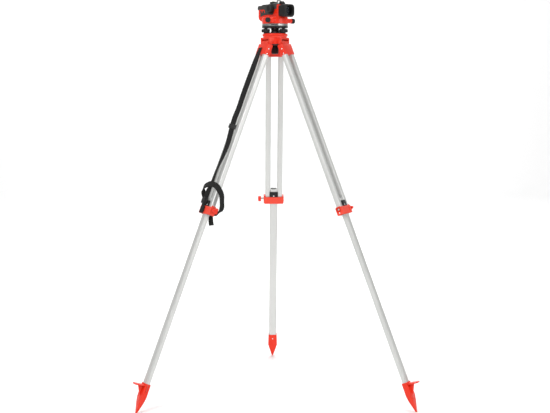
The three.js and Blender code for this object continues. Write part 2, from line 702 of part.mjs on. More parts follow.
function levellingBase() {
  const base = new THREE.Group();
  base.position.z = HEAD_HEIGHT;
  base.add(piece("base_plate", basePlate(), blackPlastic));
  SCREW_AZIMUTHS.forEach((azimuth, index) => {
    const screw = piece(`foot_screw_${index + 1}`, footScrew(), blackPlastic);
    const place = radians(azimuth);
    screw.position.set(SCREW_CIRCLE * Math.cos(place), SCREW_CIRCLE * Math.sin(place), 0);
    base.add(screw);
  });
  base.add(piece("tribrach", tribrach(), blackPlastic));
  base.add(piece("horizontal_circle", horizontalCircle(), silverRing));
  return base;
}

function levelAssembly() {
  const level = new THREE.Group();
  level.position.z = HEAD_HEIGHT;
  level.rotation.z = radians(SIGHT_AZIMUTH);
  level.add(piece("main_body", mainBody(), redPaint));
  level.add(piece("top_cover", topCover(), greyPlastic));
  level.add(piece("objective_hood", objectiveHood(), blackPlastic));
  level.add(piece("objective_lens", lens(19.6, 78, 4, 2), clearGlass));
  level.add(piece("eyepiece", eyepiece(), blackPlastic));
  level.add(piece("eyepiece_lens", lens(6.6, -97, 2.4, 0.8), clearGlass));
  level.add(piece("focus_knob", focusKnob(), blackPlastic));
  level.add(piece("focusing_cell", focusingCell(), silverRing));
  level.add(piece("focusing_lens", lens(10.6, 36, 3, 1.4), clearGlass));
  level.add(piece("compensator", compensator(), silverRing));
  level.add(piece("tangent_screw", tangentScrew(), blackPlastic));
  level.add(piece("tangent_knob", tangentKnob(), blackPlastic));
  level.add(piece("bubble_housing", bubbleHousing(), greyPlastic));
  level.add(piece("bubble_vial", bubbleVial(), clearGlass));
  level.add(piece("bubble_mirror", bubbleMirror(), zincSteel));
  level.add(piece("open_sight", openSight(), blackPlastic));
  return level;
}

const kit = new THREE.Group();
kit.add(headAssembly(), levellingBase(), levelAssembly(), ...LEGS.map(legAssembly));

// Put the middle of the whole box over the origin.
const extent = new THREE.Box3().setFromObject(kit, true);
kit.position.y = -(extent.min.y + extent.max.y) / 2;

const group = new THREE.Group();
group.add(kit);
export default group;
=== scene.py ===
# Automatic level on its aluminium tripod, with the carrying strap: the visual model and its studio.
# Each piece is modelled in millimetres in the frame of its own part (head, leg or level) and then placed.
import json
import math

import bmesh
import bpy
from mathutils import Matrix, Vector


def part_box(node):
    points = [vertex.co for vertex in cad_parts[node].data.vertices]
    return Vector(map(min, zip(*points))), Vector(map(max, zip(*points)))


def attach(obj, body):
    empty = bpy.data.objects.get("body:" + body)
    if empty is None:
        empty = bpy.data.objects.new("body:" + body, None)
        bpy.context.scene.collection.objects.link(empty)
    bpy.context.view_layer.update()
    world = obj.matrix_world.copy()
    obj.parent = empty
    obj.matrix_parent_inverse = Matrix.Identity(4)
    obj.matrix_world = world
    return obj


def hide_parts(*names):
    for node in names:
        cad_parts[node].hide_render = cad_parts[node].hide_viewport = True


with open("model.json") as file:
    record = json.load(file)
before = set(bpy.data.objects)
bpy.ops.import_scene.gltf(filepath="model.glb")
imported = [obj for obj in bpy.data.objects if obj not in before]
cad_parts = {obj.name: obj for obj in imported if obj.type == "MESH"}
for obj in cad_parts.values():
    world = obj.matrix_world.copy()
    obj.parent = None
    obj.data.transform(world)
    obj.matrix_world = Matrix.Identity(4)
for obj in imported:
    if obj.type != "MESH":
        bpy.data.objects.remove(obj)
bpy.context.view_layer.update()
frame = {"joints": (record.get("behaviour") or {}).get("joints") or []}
JOINTS = {joint["name"]: joint for joint in frame["joints"]}
MM = 0.001

# Driving dimensions, in millimetres, as the solids of the frame have them.
GAP = 0.3
HINGE_RADIUS = 42
HINGE_DROP = 40
LEG_WIDTH = 80
TUBE_DEPTH = 22
TUBE_INNER = 15.5
LOWER_WIDTH = 37
LOWER_DEPTH = 20
CLAMP_DISTANCE = 779
CLAMP_WIDTH = 95
CLAMP_HEIGHT = 35
CLAMP_DEPTH = 31
FOOT_LENGTH = 132
DRUM_RADIUS = 56.5
HALF_WIDTH = 27
SIGHT_HEIGHT = 96
SCREW_CIRCLE = 45
SCREW_AZIMUTHS = (85, 205, 325)
LEG_NAMES = ("left", "right", "rear")
PIN_BORE = 4.3


# ---- Camera ----

axis_place = Vector(JOINTS["level_turn"]["pos_m"])
CAMERA_DISTANCE = 4.87
CAMERA_HEIGHT = 1.347
CAMERA_PITCH = math.radians(5.95)
CAMERA_SWING = math.radians(-1.1)
LENS = 72


def add_camera():
    data = bpy.data.cameras.new("camera")
    data.lens = LENS
    data.sensor_width = 36
    data.clip_end = 100
    camera = bpy.data.objects.new("camera", data)
    bpy.context.scene.collection.objects.link(camera)
    side = CAMERA_DISTANCE * math.sin(CAMERA_SWING)
    back = CAMERA_DISTANCE * math.cos(CAMERA_SWING)
    camera.location = (axis_place.x + side, axis_place.y - back, CAMERA_HEIGHT)
    camera.rotation_euler = (math.pi / 2 - CAMERA_PITCH, 0, CAMERA_SWING)
    bpy.context.scene.camera = camera


add_camera()


# ---- Frames of the parts ----

def frame_of(origin, x_axis, y_axis, z_axis):
    """The matrix that takes millimetres in a part's own frame to metres in the shared frame."""
    columns = Matrix((x_axis, y_axis, z_axis)).transposed().to_4x4()
    return Matrix.Translation(origin) @ columns @ Matrix.Scale(MM, 4)


def leg_frame(name):
    hinge = JOINTS[f"leg_fold_{name}"]
    across = Vector(hinge["axis"]).normalized()
    along = Vector(JOINTS[f"leg_slide_{name}"]["axis"]).normalized()
    return frame_of(Vector(hinge["pos_m"]), across.cross(along), across, along)


HEAD_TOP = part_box("tripod_head")[1].z
UPRIGHT = Vector((0, 0, 1))
left_side = Vector(JOINTS["tangent_turn"]["axis"]).normalized()
head_origin = Vector((axis_place.x, axis_place.y, HEAD_TOP))
HEAD = frame_of(head_origin, Vector((1, 0, 0)), Vector((0, 1, 0)), UPRIGHT)
LEVEL = frame_of(head_origin, left_side.cross(UPRIGHT), left_side, UPRIGHT)
LEGS = {name: leg_frame(name) for name in LEG_NAMES}
HINGE_HEIGHT = HEAD_TOP / MM - HINGE_DROP
SPREAD = math.acos((LEGS["rear"].to_3x3() @ UPRIGHT).normalized().z)
LEG_LENGTH = HINGE_HEIGHT / math.cos(SPREAD)


# ---- Mesh tools ----

def solid(points, faces, name="solid"):
    mesh = bpy.data.meshes.new(name)
    mesh.from_pydata([tuple(p) for p in points], [], faces)
    obj = bpy.data.objects.new(name, mesh)
    bpy.context.scene.collection.objects.link(obj)
    return obj


def move(obj, matrix):
    obj.data.transform(matrix)
    return obj


def shift(obj, x, y, z):
    return move(obj, Matrix.Translation((x, y, z)))


def turn(obj, degrees, axis):
    return move(obj, Matrix.Rotation(math.radians(degrees), 4, axis))


def around(azimuths, make):
    """The shape that make gives, made and turned about Z for each azimuth."""
    return [turn(make(), azimuth, "Z") for azimuth in azimuths]


def apply_modifiers(obj):
    graph = bpy.context.evaluated_depsgraph_get()
    mesh = bpy.data.meshes.new_from_object(obj.evaluated_get(graph))
    obj.modifiers.clear()
    old, obj.data = obj.data, mesh
    bpy.data.meshes.remove(old)
    return obj


def combine(target, operation, tools):
    for tool in tools:
        modifier = target.modifiers.new(operation, "BOOLEAN")
        modifier.operation = operation
        modifier.solver = "EXACT"
        modifier.object = tool
        apply_modifiers(target)
        bpy.data.objects.remove(tool)
    return target


def cut(target, *tools):
    return combine(target, "DIFFERENCE", tools)


def fuse(target, *others):
    return combine(target, "UNION", others)


def common(target, other):
    return combine(target, "INTERSECT", [other])


def gather(*objects):
    """Several separate shells as one object."""
    target, *others = objects
    merged = bmesh.new()
    for obj in objects:
        merged.from_mesh(obj.data)
    merged.to_mesh(target.data)
    merged.free()
    for obj in others:
        bpy.data.objects.remove(obj)
    return target


def bevel(obj, width, segments=2, angle=32):
    """Rounds the edges sharper than angle."""
    tidy = bmesh.new()
    tidy.from_mesh(obj.data)
    bmesh.ops.remove_doubles(tidy, verts=tidy.verts, dist=0.004)
    limit = math.radians(1)
    bmesh.ops.dissolve_limit(tidy, angle_limit=limit, verts=tidy.verts, edges=tidy.edges)
    tidy.to_mesh(obj.data)
    tidy.free()
    modifier = obj.modifiers.new("edges", "BEVEL")
    modifier.width = width
    modifier.segments = segments
    modifier.limit_method = "ANGLE"
    modifier.angle_limit = math.radians(angle)
    modifier.miter_outer = "MITER_ARC"
    return apply_modifiers(obj)


def place(obj, name, matrix, body, slot, material, *nodes, soft_angle=35):
    """Names a finished piece, puts it in the shared frame, gives it its material and body, and hides the
    parts that it stands for.
    """
    obj.name = name
    obj.data.name = name
    move(obj, matrix)
    obj.data.shade_smooth()
    obj.data.set_sharp_from_angle(angle=math.radians(soft_angle))
    obj.data.materials.clear()
    obj.data.materials.append(material)
    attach(obj, body)
    if nodes:
        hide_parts(*nodes)
    return obj


# ---- Basic shapes ----

def arc(x, y, radius, start, end, steps):
    angles = [math.radians(start + (end - start) * i / steps) for i in range(steps + 1)]
    return [(x + radius * math.cos(a), y + radius * math.sin(a)) for a in angles]


def circle(x, y, radius, steps=32):
    return arc(x, y, radius, 0, 360, steps)[:-1]


def rounded(x0, x1, y0, y1, radius, steps=5):
    return (
        arc(x1 - radius, y0 + radius, radius, -90, 0, steps)
        + arc(x1 - radius, y1 - radius, radius, 0, 90, steps)
        + arc(x0 + radius, y1 - radius, radius, 90, 180, steps)
        + arc(x0 + radius, y0 + radius, radius, 180, 270, steps)
    )


def curve_between(start, control, end, steps=8):
    """Points of a quadratic curve after its start, up to its end."""
    points = []
    for i in range(1, steps + 1):
        t = i / steps
        weights = ((1 - t) ** 2, 2 * t * (1 - t), t * t)
        points.append(tuple(
            sum(weight * value for weight, value in zip(weights, values))
            for values in zip(start, control, end)
        ))
    return points


def path(*stops):
    """An outline of corners (x, y) and of curves (control, end, steps) that begin at the last point."""
    points = []
    for stop in stops:
        if isinstance(stop[0], tuple):
            points += curve_between(points[-1], *stop)
        else:
            points.append(stop)
    return points


def scalloped(radius, lobes, depth, per_lobe=6):
    steps = lobes * per_lobe
    points = []
    for i in range(steps):
        angle = 2 * math.pi * i / steps
        reach = radius - depth / 2 * (1 - math.cos(lobes * angle))
        points.append((reach * math.cos(angle), reach * math.sin(angle)))
    return points


def anticlockwise(outline):
    pairs = zip(outline, outline[1:] + outline[:1])
    area = sum(x0 * y1 - x1 * y0 for (x0, y0), (x1, y1) in pairs)
    return outline[::-1] if area < 0 else outline


def slab(outline, z0, z1):
    """Outline in X and Y, thickened from z0 to z1."""
    outline = anticlockwise(outline)
    count = len(outline)
    points = [(x, y, z0) for x, y in outline] + [(x, y, z1) for x, y in outline]
    sides = [(i, (i + 1) % count, count + (i + 1) % count, count + i) for i in range(count)]
    return solid(points, [tuple(range(count))[::-1], tuple(range(count, 2 * count))] + sides)


def upright(outline, y0, y1):
    """Outline in X and Z, thickened from y0 to y1."""
    return shift(turn(slab(outline, 0, y1 - y0), 90, "X"), 0, y1, 0)


def facing(outline, x0, x1):
    """Outline in Y and Z, thickened from x0 to x1."""
    return shift(turn(turn(slab(outline, 0, x1 - x0), 90, "X"), 90, "Z"), x0, 0, 0)


def block(x0, x1, y0, y1, z0, z1):
    return slab([(x0, y0), (x1, y0), (x1, y1), (x0, y1)], z0, z1)


def turned(profile, steps=64):
    """A profile of (radius, height) points turned about Z, closed on itself or on the axis."""
    profile = anticlockwise(profile)
    rings, points = [], []
    for radius, height in profile:
        if radius == 0:
            rings.append([len(points)] * steps)
            points.append((0, 0, height))
            continue
        rings.append([len(points) + i for i in range(steps)])
        for i in range(steps):
            angle = 2 * math.pi * i / steps
            points.append((radius * math.cos(angle), radius * math.sin(angle), height))
    open_ends = profile[0][0] == 0 and profile[-1][0] == 0
    pairs = list(zip(rings, rings[1:])) + ([] if open_ends else [(rings[-1], rings[0])])
    faces = []
    for low, high in pairs:
        for i in range(steps):
            j = (i + 1) % steps
            corners = [low[i], low[j], high[j], high[i]]
            faces.append([c for k, c in enumerate(corners) if c not in corners[:k]])
    return solid(points, [f for f in faces if len(f) > 2])


def rod(radius, z0, z1, steps=32):
    return slab(circle(0, 0, radius, steps), z0, z1)


def along_x(obj):
    return turn(obj, 90, "Y")


def along_y(obj):
    return turn(obj, -90, "X")


def rivet(radius, height):
    """A domed rivet head standing on z = 0."""
    dome = [(radius * x, height * y) for x, y in arc(0, 0, 1, 90, 0, 6)[1:]]
    return turned([(0, height)] + dome + [(radius, -0.6), (0, -0.6)], 24)


# ---- Materials ----

def set_inputs(node, **amounts):
    """Sets a node's sockets, named with underscores for spaces."""
    for socket, amount in amounts.items():
        node.inputs[socket.replace("_", " ")].default_value = amount
    return node


class Shade:
    """A principled material whose nodes are added by name."""

    def __init__(self, name, roughness, metallic=0.0):
        self.material = bpy.data.materials.new(name)
        self.material.use_nodes = True
        self.nodes = self.material.node_tree.nodes
        self.links = self.material.node_tree.links
        self.surface = self.nodes["Principled BSDF"]
        self.uniform(Roughness=roughness, Metallic=metallic)
        self.place = self.nodes.new("ShaderNodeTexCoord").outputs["Object"]
        self.height = None

    def add(self, kind, **amounts):
        return set_inputs(self.nodes.new("ShaderNode" + kind), **amounts)

    def uniform(self, **amounts):
        set_inputs(self.surface, **amounts)

    def turned_place(self, matrix, scale):
        """Object coordinates seen in another frame, then stretched."""
        rotation = matrix.to_3x3().normalized().transposed().to_euler("XYZ")
        into = self.add("Mapping", Rotation=rotation)
        stretch = self.add("Mapping", Scale=scale)
        self.links.new(self.place, into.inputs["Vector"])
        self.links.new(into.outputs["Vector"], stretch.inputs["Vector"])
        return stretch.outputs["Vector"]

    def noise(self, scale, detail=3.0, place=None):
        node = self.add("TexNoise", Scale=scale, Detail=detail)
        self.links.new(place or self.place, node.inputs["Vector"])
        return node.outputs["Fac"]

    def wave(self, scale, place, direction, distortion):
        node = self.add("TexWave", Scale=scale, Distortion=distortion)
        node.bands_direction = direction
        self.links.new(place, node.inputs["Vector"])
        return node.outputs["Fac"]

    def ranged(self, value, low, high, to_low, to_high):
        node = self.add("MapRange", From_Min=low, From_Max=high, To_Min=to_low, To_Max=to_high)
        self.links.new(value, node.inputs["Value"])
        return node.outputs["Result"]

    def mixed(self, factor, first, second):
        node = self.add("Mix")
        node.data_type = "RGBA"
        self.links.new(factor, node.inputs["Factor"])
        for socket, colour in ((node.inputs["A"], first), (node.inputs["B"], second)):
            if isinstance(colour, tuple):
                socket.default_value = (*colour, 1)
            else:
                self.links.new(colour, socket)
        return node.outputs["Result"]

    def colour(self, value):
        if isinstance(value, tuple):
            self.uniform(Base_Color=(*value, 1))
        else:
            self.links.new(value, self.surface.inputs["Base Color"])

    def roughness(self, value):
        self.links.new(value, self.surface.inputs["Roughness"])

    def raised(self, height, distance, strength):
        """Adds a layer of bump, its depth in metres."""
        node = self.add("Bump", Distance=distance, Strength=strength)
        self.links.new(height, node.inputs["Height"])
        if self.height:
            self.links.new(self.height, node.inputs["Normal"])
        self.height = node.outputs["Normal"]
        self.links.new(self.height, self.surface.inputs["Normal"])

    def edges(self):
        """How much a point stands out, 0 on flats and 1 on worn corners."""
        pointed = self.nodes.new("ShaderNodeNewGeometry").outputs["Pointiness"]
        return self.ranged(pointed, 0.53, 0.62, 0, 1)


RED = (0.80, 0.028, 0.006)
RED_DEEP = (0.70, 0.021, 0.005)
RED_WORN = (0.82, 0.06, 0.03)


def red_finish(name, roughness, peel):
    """Red coating with the faint orange peel of sprayed paint, paler on its edges."""
    shade = Shade(name, roughness)
    tone = shade.mixed(shade.noise(18, 4), RED, RED_DEEP)
    shade.colour(shade.mixed(shade.edges(), tone, RED_WORN))
    patches = shade.ranged(shade.noise(60, 5), 0.3, 0.7, roughness - 0.05, roughness + 0.08)
    shade.roughness(patches)
    shade.raised(shade.noise(900, 2), 0.0001, peel)
    shade.uniform(Specular_IOR_Level=0.3, Coat_Weight=0.08, Coat_Roughness=0.2)
    return shade.material


def plastic_finish(name, colour, worn, roughness, grain_scale=1600):
    """Moulded plastic with a fine spark-eroded grain."""
    shade = Shade(name, roughness)
    tone = shade.mixed(shade.noise(25, 4), colour, tuple(c * 1.35 for c in colour))
    shade.colour(shade.mixed(shade.edges(), tone, worn))
    shade.roughness(shade.ranged(shade.noise(90, 4), 0.3, 0.7, roughness - 0.06, roughness + 0.08))
    shade.raised(shade.noise(grain_scale, 2), 0.00008, 0.7)
    shade.uniform(Specular_IOR_Level=0.18)
    return shade.material


def metal_finish(name, colour, roughness):
    shade = Shade(name, roughness, 1.0)
    shade.colour(shade.mixed(shade.noise(240, 4), colour, tuple(c * 0.86 for c in colour)))
    shade.roughness(shade.ranged(shade.noise(480, 3), 0.3, 0.7, roughness - 0.07, roughness + 0.1))
    shade.raised(shade.noise(2200, 2), 0.00003, 0.6)
    return shade.material


def extrusion_finish(leg):
    """Satin anodised tube: fine die lines run along the leg."""
    shade = Shade(f"satin_aluminium_{leg}", 0.42, 0.55)
    along = shade.turned_place(LEGS[leg], (1400, 1400, 9))
    lines = shade.noise(1, 3, along)
    cloud = shade.noise(7, 4)
    tone = shade.mixed(cloud, (0.64, 0.645, 0.63), (0.56, 0.565, 0.55))
    shade.colour(shade.mixed(shade.ranged(lines, 0.35, 0.75, 0, 0.5), tone, (0.74, 0.745, 0.73)))
    shade.roughness(shade.ranged(lines, 0.3, 0.7, 0.36, 0.52))
    shade.raised(lines, 0.00006, 0.5)
    return shade.material


def webbing_finish(name, matrix):
    """Black woven webbing: a twill of slanting ribs crossed by fine threads."""
    shade = Shade(name, 0.82)
    place = shade.turned_place(matrix, (1, 1, 1))
    ribs = shade.wave(150, place, "DIAGONAL", 0.5)
    threads = shade.wave(420, place, "Z", 0.8)
    fuzz = shade.noise(2500, 3)
    tone = shade.mixed(ribs, grey(0.006), (0.020, 0.020, 0.019))
    shade.colour(shade.mixed(shade.ranged(fuzz, 0.45, 0.8, 0, 0.5), tone, (0.035, 0.035, 0.034)))
    shade.raised(ribs, 0.0004, 0.7)
    shade.raised(threads, 0.0002, 0.6)
    shade.raised(fuzz, 0.0001, 0.5)
    shade.uniform(Specular_IOR_Level=0.15, Sheen_Weight=0.05, Sheen_Roughness=0.5)
    return shade.material


def clear_finish(name, roughness, scale, tones, **amounts):
    """Glass, liquid or silvering, with two tones in soft patches."""
    shade = Shade(name, roughness)
    shade.colour(shade.mixed(shade.noise(*scale), *tones))
    shade.uniform(**amounts)
    return shade.material


def grey(value):
    return (value, value, value)


GLASS_TONES = (0.28, 0.33, 0.36), (0.22, 0.27, 0.34)
SILVER_TONES = (0.90, 0.91, 0.91), (0.84, 0.85, 0.86)
LIQUID_TONES = (0.44, 0.50, 0.34), (0.36, 0.43, 0.27)

red_casting = red_finish("red_powder_coat", 0.40, 0.9)
red_enamel = red_finish("red_enamel", 0.30, 0.5)
red_knob = red_finish("red_moulding", 0.46, 0.4)
black_moulding = plastic_finish("black_moulding", grey(0.013), grey(0.04), 0.42)
grey_moulding = plastic_finish("grey_moulding", (0.038, 0.038, 0.036), (0.09, 0.09, 0.088), 0.45)
black_rubber = plastic_finish("black_grip", grey(0.014), grey(0.035), 0.62, 900)
black_enamel = plastic_finish("black_enamel", (0.014, 0.014, 0.015), grey(0.10), 0.33, 1200)
inside_black = plastic_finish("matt_lining", grey(0.008), grey(0.012), 0.8)
zinc = metal_finish("zinc_plate", (0.62, 0.63, 0.62), 0.30)
bright_steel = metal_finish("bright_rivet", (0.86, 0.87, 0.87), 0.22)
ring_metal = metal_finish("satin_ring", (0.40, 0.42, 0.41), 0.38)
brass = metal_finish("brass", (0.68, 0.52, 0.26), 0.30)
white_paint = plastic_finish("white_line", (0.80, 0.80, 0.78), (0.85, 0.85, 0.84), 0.5)
mirror_silver = clear_finish("mirror_silver", 0.04, (50, 3), SILVER_TONES, Metallic=1.0)
coated_glass = clear_finish("coated_glass", 0.03, (40, 2), GLASS_TONES, Transmission_Weight=0.9, IOR=1.3)
bubble_liquid = clear_finish("bubble_liquid", 0.05, (60, 2), LIQUID_TONES, Transmission_Weight=0.55)
tube_metal = {name: extrusion_finish(name) for name in LEG_NAMES}
strap_webbing = webbing_finish("strap_webbing", LEGS["left"])


# ---- Tripod head ----

LUG_AZIMUTHS = (90, 210, 330)
ARM_REACH = 31
ARM_AZIMUTH = 30


def head_lug():
    bridge = bevel(block(22, 50, -38, 38, -26, -17), 1.6, 3)
    arms = []
    for side in (-38, 30):
        outline = [(28, -18), (28, -34), (33, -40), (51, -40), (51, -18)]
        eye = upright(circle(HINGE_RADIUS, -HINGE_DROP, 9, 40), side, side + 8)
        arms.append(bevel(fuse(upright(outline, side, side + 8), eye), 1.2, 2))
    bore = shift(along_y(rod(PIN_BORE, -60, 60)), HINGE_RADIUS, 0, -HINGE_DROP)
    return cut(fuse(bridge, *arms), bore)


def tripod_head():
    rim = arc(51.5, -8.5, 3.5, -90, 0, 5) + arc(51.5, -3.5, 3.5, 0, 90, 5)
    flange = turned([(20, -12)] + rim + [(20.8, 0), (20, -0.8)], 96)
    neck = turned([(20, -18), (51.5, -18), (51.5, -11.5), (20, -11.5)], 96)
    skirt = [(20, -23), (40, -23), (40, -45)] + arc(45, -44, 2, -90, 0, 4)
    hub = turned(skirt + [(47, -17), (20, -17)], 96)
    slots = around(LUG_AZIMUTHS, lambda: block(29, 90, -30, 30, -80, -26))
    post = turn(shift(rod(4.5, -43.7, -22.5), ARM_REACH, 0, 0), ARM_AZIMUTH, "Z")
    hub = bevel(cut(hub, *slots), 1.0, 2)
    casting = fuse(hub, *around(LUG_AZIMUTHS, head_lug))
    body = gather(flange, neck, casting, post)
    place(body, "tripod_head_casting", HEAD, "head", "red_casting", red_casting, "tripod_head")


def retaining_arm():
    bar = slab(rounded(-11, ARM_REACH + 6, -6, 6, 5.9), -48, -44)
    arm = cut(fuse(bar, rod(13.5, -48, -44, 48)), rod(8.7, -60, -30, 40))
    arm = turn(bevel(arm, 0.6), ARM_AZIMUTH, "Z")
    place(arm, "retaining_arm_bar", HEAD, "head", "black_metal", black_enamel, "retaining_arm")
    screw = turn(shift(turn(rivet(5, 2.2), 180, "X"), ARM_REACH, 0, -48), ARM_AZIMUTH, "Z")
    place(screw, "arm_pivot_screw", HEAD, "head", "zinc_steel", bright_steel)


def fixing_screw():
    shank = [(0, -60), (7.95, -60), (7.95, -27.2), (18.4, -27.2), (19, -26.6), (19, -23.9), (18.4, -23.3)]
    thread = []
    for i in range(20):
        low = -22.6 + i * 1.5
        thread += [(7.95, low), (7.3, low + 0.75)]
    body = turned(shank + [(7.3, -23.3)] + thread + [(7.3, 8.0), (6.8, 8.5), (0, 8.5)], 48)
    place(body, "fixing_screw_thread", HEAD, "fixing_screw_unit", "zinc_steel", zinc, "fixing_screw")


def fixing_knob():
    grip = bevel(slab(scalloped(15.5, 10, 1.6), -86, -51), 1.4, 3, 50)
    skirt = turned([(0, -88), (11.5, -88), (12.5, -87), (12.5, -85.8), (0, -85.8)])
    bore = rod(8.3, -60.3, -45)
    knob = gather(cut(grip, bore), skirt)
    slot = "black_plastic"
    place(knob, "fixing_screw_knob", HEAD, "fixing_screw_unit", slot, black_moulding, "fixing_knob")


# ---- Legs ----

SHOULDER = -10
BRACKET_END = -58.5
BRACKET_HALF = 42.5
KNUCKLE_HALF = 29.6
CLAMP_TOP = CLAMP_HEIGHT / 2
SCREW_LIFT = 5
GUIDE_TOP = 43
GUIDE_FACE = 14.3


def place_on_leg(obj, name, leg, slot, material, *nodes):
    return place(obj, name, LEGS[leg], f"upper_leg_{leg}", slot, material, *nodes)


def mirrored(low, high, side):
    return (low, high) if side > 0 else (-high, -low)


def tube_outline(side, grow=0.0):
    low, high = mirrored(TUBE_INNER - grow, LEG_WIDTH / 2 + grow, side)
    return rounded(-TUBE_DEPTH / 2 - grow, TUBE_DEPTH / 2 + grow, low, high, 6)


def upper_tube(name, side, letter):
    end = 2 - CLAMP_DISTANCE - CLAMP_TOP
    tube = slab(tube_outline(side), end, BRACKET_END + 40.5)
    low, high = mirrored(TUBE_INNER + 5, LEG_WIDTH / 2 - 1.8, side)
    hollow = slab(rounded(-9.2, 9.2, low, high, 4), end - 5, BRACKET_END + 45)
    reach = LOWER_WIDTH / 2 + 0.4
    groove = block(-6.6, 6.6, -reach, reach, end - 10, 0)
    tube = cut(tube, hollow, groove)
    node = f"upper_tube_{letter}_{name}"
    place_on_leg(tube, node + "_extrusion", name, "leg_aluminium", tube_metal[name], node)
    plug = slab(rounded(-9.1, 9.1, low + 0.1, high - 0.1, 4), end - 1.6, end + 8)
    place_on_leg(plug, node + "_end_plug", name, "black_plastic", black_moulding)


def leg_bracket(name):
    barrel = along_y(rod(10, -KNUCKLE_HALF, KNUCKLE_HALF, 48))
    neck = block(-9, 9, -KNUCKLE_HALF, KNUCKLE_HALF, -14, 0)
    body = slab(rounded(-13.4, 13.4, -BRACKET_HALF, BRACKET_HALF, 5), BRACKET_END, SHOULDER)
    sockets = [slab(tube_outline(side, GAP), BRACKET_END - 5, BRACKET_END + 40.8) for side in (-1, 1)]
    bore = along_y(rod(PIN_BORE, -60, 60))
    casting = cut(fuse(bevel(body, 1.4, 3), neck, barrel), *sockets, bore)
    node = f"leg_bracket_{name}"
    place_on_leg(casting, node + "_casting", name, "red_casting", red_casting, node)
    heads = []
    for depth in (-31, -54):
        for side in (-1, 1):
            heads.append(shift(turn(rivet(3.2, 1.3), -90 * side, "X"), 3, side * BRACKET_HALF, depth))
    place_on_leg(gather(*heads), f"bracket_rivets_{name}", name, "zinc_steel", bright_steel)


def hinge_pin(name):
    node = f"hinge_pin_{name}"
    place(along_y(rod(4, -38.2, 38.2)), node + "_bolt", LEGS[name], "head", "zinc_steel", zinc, node)
    plugs = []
    for side in (-1, 1):
        plug = turned([(0, 40.3), (3, 40.2), (5.6, 39.3), (6.4, 38.2), (6.4, 38), (0, 38)], 32)
        plugs.append(turn(plug, -90 * side, "X"))
    place(gather(*plugs), f"hinge_pin_plugs_{name}", LEGS[name], "head", "red_casting", red_casting)


def clamp_frame(name):
    return LEGS[name] @ Matrix.Translation((0, 0, -CLAMP_DISTANCE))


def clamp_body(name):
    half, deep = CLAMP_WIDTH / 2, CLAMP_DEPTH / 2
    bar = slab(rounded(-deep, deep, -half, half, 5), -CLAMP_TOP, CLAMP_TOP)
    ring = common(bar, facing(rounded(-half, half, -CLAMP_TOP, CLAMP_TOP + 20, 8), -30, 30))
    screw_ear = facing(rounded(39, half, CLAMP_TOP - 20, CLAMP_TOP + 6, 4), -9, 9)
    rivet_ear = facing(rounded(-half, -39, CLAMP_TOP - 20, CLAMP_TOP + 3, 4), -9, 9)
    recess = facing(rounded(-31, 31, -10, 10, 2.5), deep - 1.5, deep + 5)
    shell = bevel(cut(fuse(ring, screw_ear, rivet_ear), recess), 1.1, 3)
    opening = slab(rounded(-11.4, 11.4, -40.4, 40.4, 6), -CLAMP_TOP - 5, CLAMP_TOP + 20)
    screw_bore = shift(along_y(rod(PIN_BORE, 30, 60)), 0, 0, SCREW_LIFT)
    casting = cut(shell, opening, screw_bore)
    here, body, node = clamp_frame(name), f"upper_leg_{name}", f"clamp_body_{name}"
    place(casting, node + "_casting", here, body, "red_casting", red_casting, node)
    heads = [shift(turn(rivet(3.2, 1.2), 90, "X"), 0, -half, height) for height in (-7, 8)]
    place(gather(*heads), f"clamp_rivets_{name}", here, body, "zinc_steel", bright_steel)


def clamp_screw(name):
    here, body = clamp_frame(name), f"clamp_knob_{name}_unit"
    profile = [(0, 40.8), (3.4, 40.8)]
    for i in range(15):
        profile += [(4, 41.4 + i * 1.2), (3.4, 42 + i * 1.2)]
    stud = shift(along_y(turned(profile + [(4, 60), (4, 66), (0, 66)], 32)), 0, 0, SCREW_LIFT)
    place(stud, f"clamp_stud_{name}", here, body, "zinc_steel", zinc, f"clamp_screw_{name}")
    disc = bevel(slab(scalloped(14.5, 3, 5.5, 24), 60, 74), 1.6, 3, 50)
    knob = shift(along_y(cut(disc, rod(PIN_BORE, 50, 66.3))), 0, 0, SCREW_LIFT)
    place(knob, f"clamp_hand_knob_{name}", here, body, "red_plastic", red_knob, f"clamp_knob_{name}")


def slider_guide(name):
    low = CLAMP_TOP + 0.4
    shells = []
    for side in (-1, 1):
        plate = facing(rounded(-19.5, 19.5, low, GUIDE_TOP, 2), *mirrored(11.3, GUIDE_FACE, side))
        shells.append(bevel(plate, 0.7))
        shells.append(block(*mirrored(10.3, 11.8, side), -14.5, 14.5, low, GUIDE_TOP))
    guide = gather(*shells, block(-11, 11, -6, 6, 24, 34))
    here, body, node = clamp_frame(name), f"lower_leg_{name}_unit", f"slider_guide_{name}"
    place(guide, node + "_moulding", here, body, "black_plastic", black_moulding, node)
    heads = [shift(turn(rivet(3.4, 1.2), 90 * side, "Y"), side * GUIDE_FACE, 0, 23.5) for side in (1, -1)]
    place(gather(*heads), f"guide_rivets_{name}", here, body, "zinc_steel", bright_steel)


def lower_leg(name):
    deep, wide, tongue = LOWER_DEPTH / 2, TUBE_INNER - GAP, LOWER_WIDTH / 2
    quarter = arc(deep - 2, wide - 2, 2, 0, 90, 4)
    quarter += [(6.2, wide), (6.2, tongue - 0.8), (5.4, tongue)]
    half = quarter + [(-x, y) for x, y in quarter][::-1]
    outline = half + [(-x, -y) for x, y in half]
    bottom = FOOT_LENGTH - 44 - LEG_LENGTH + CLAMP_DISTANCE
    top = CLAMP_TOP + 38.5
    hollow = slab(rounded(1.6 - deep, deep - 1.6, 1.6 - wide, wide - 1.6, 1), bottom - 5, top + 5)
    window = block(-20, 20, -6.3, 6.3, 23.7, 34.3)
    bar = cut(slab(outline, bottom, top), hollow, window)
    here, node = clamp_frame(name), f"lower_leg_{name}"
    place(bar, node + "_extrusion", here, node + "_unit", "leg_aluminium", tube_metal[name], node)


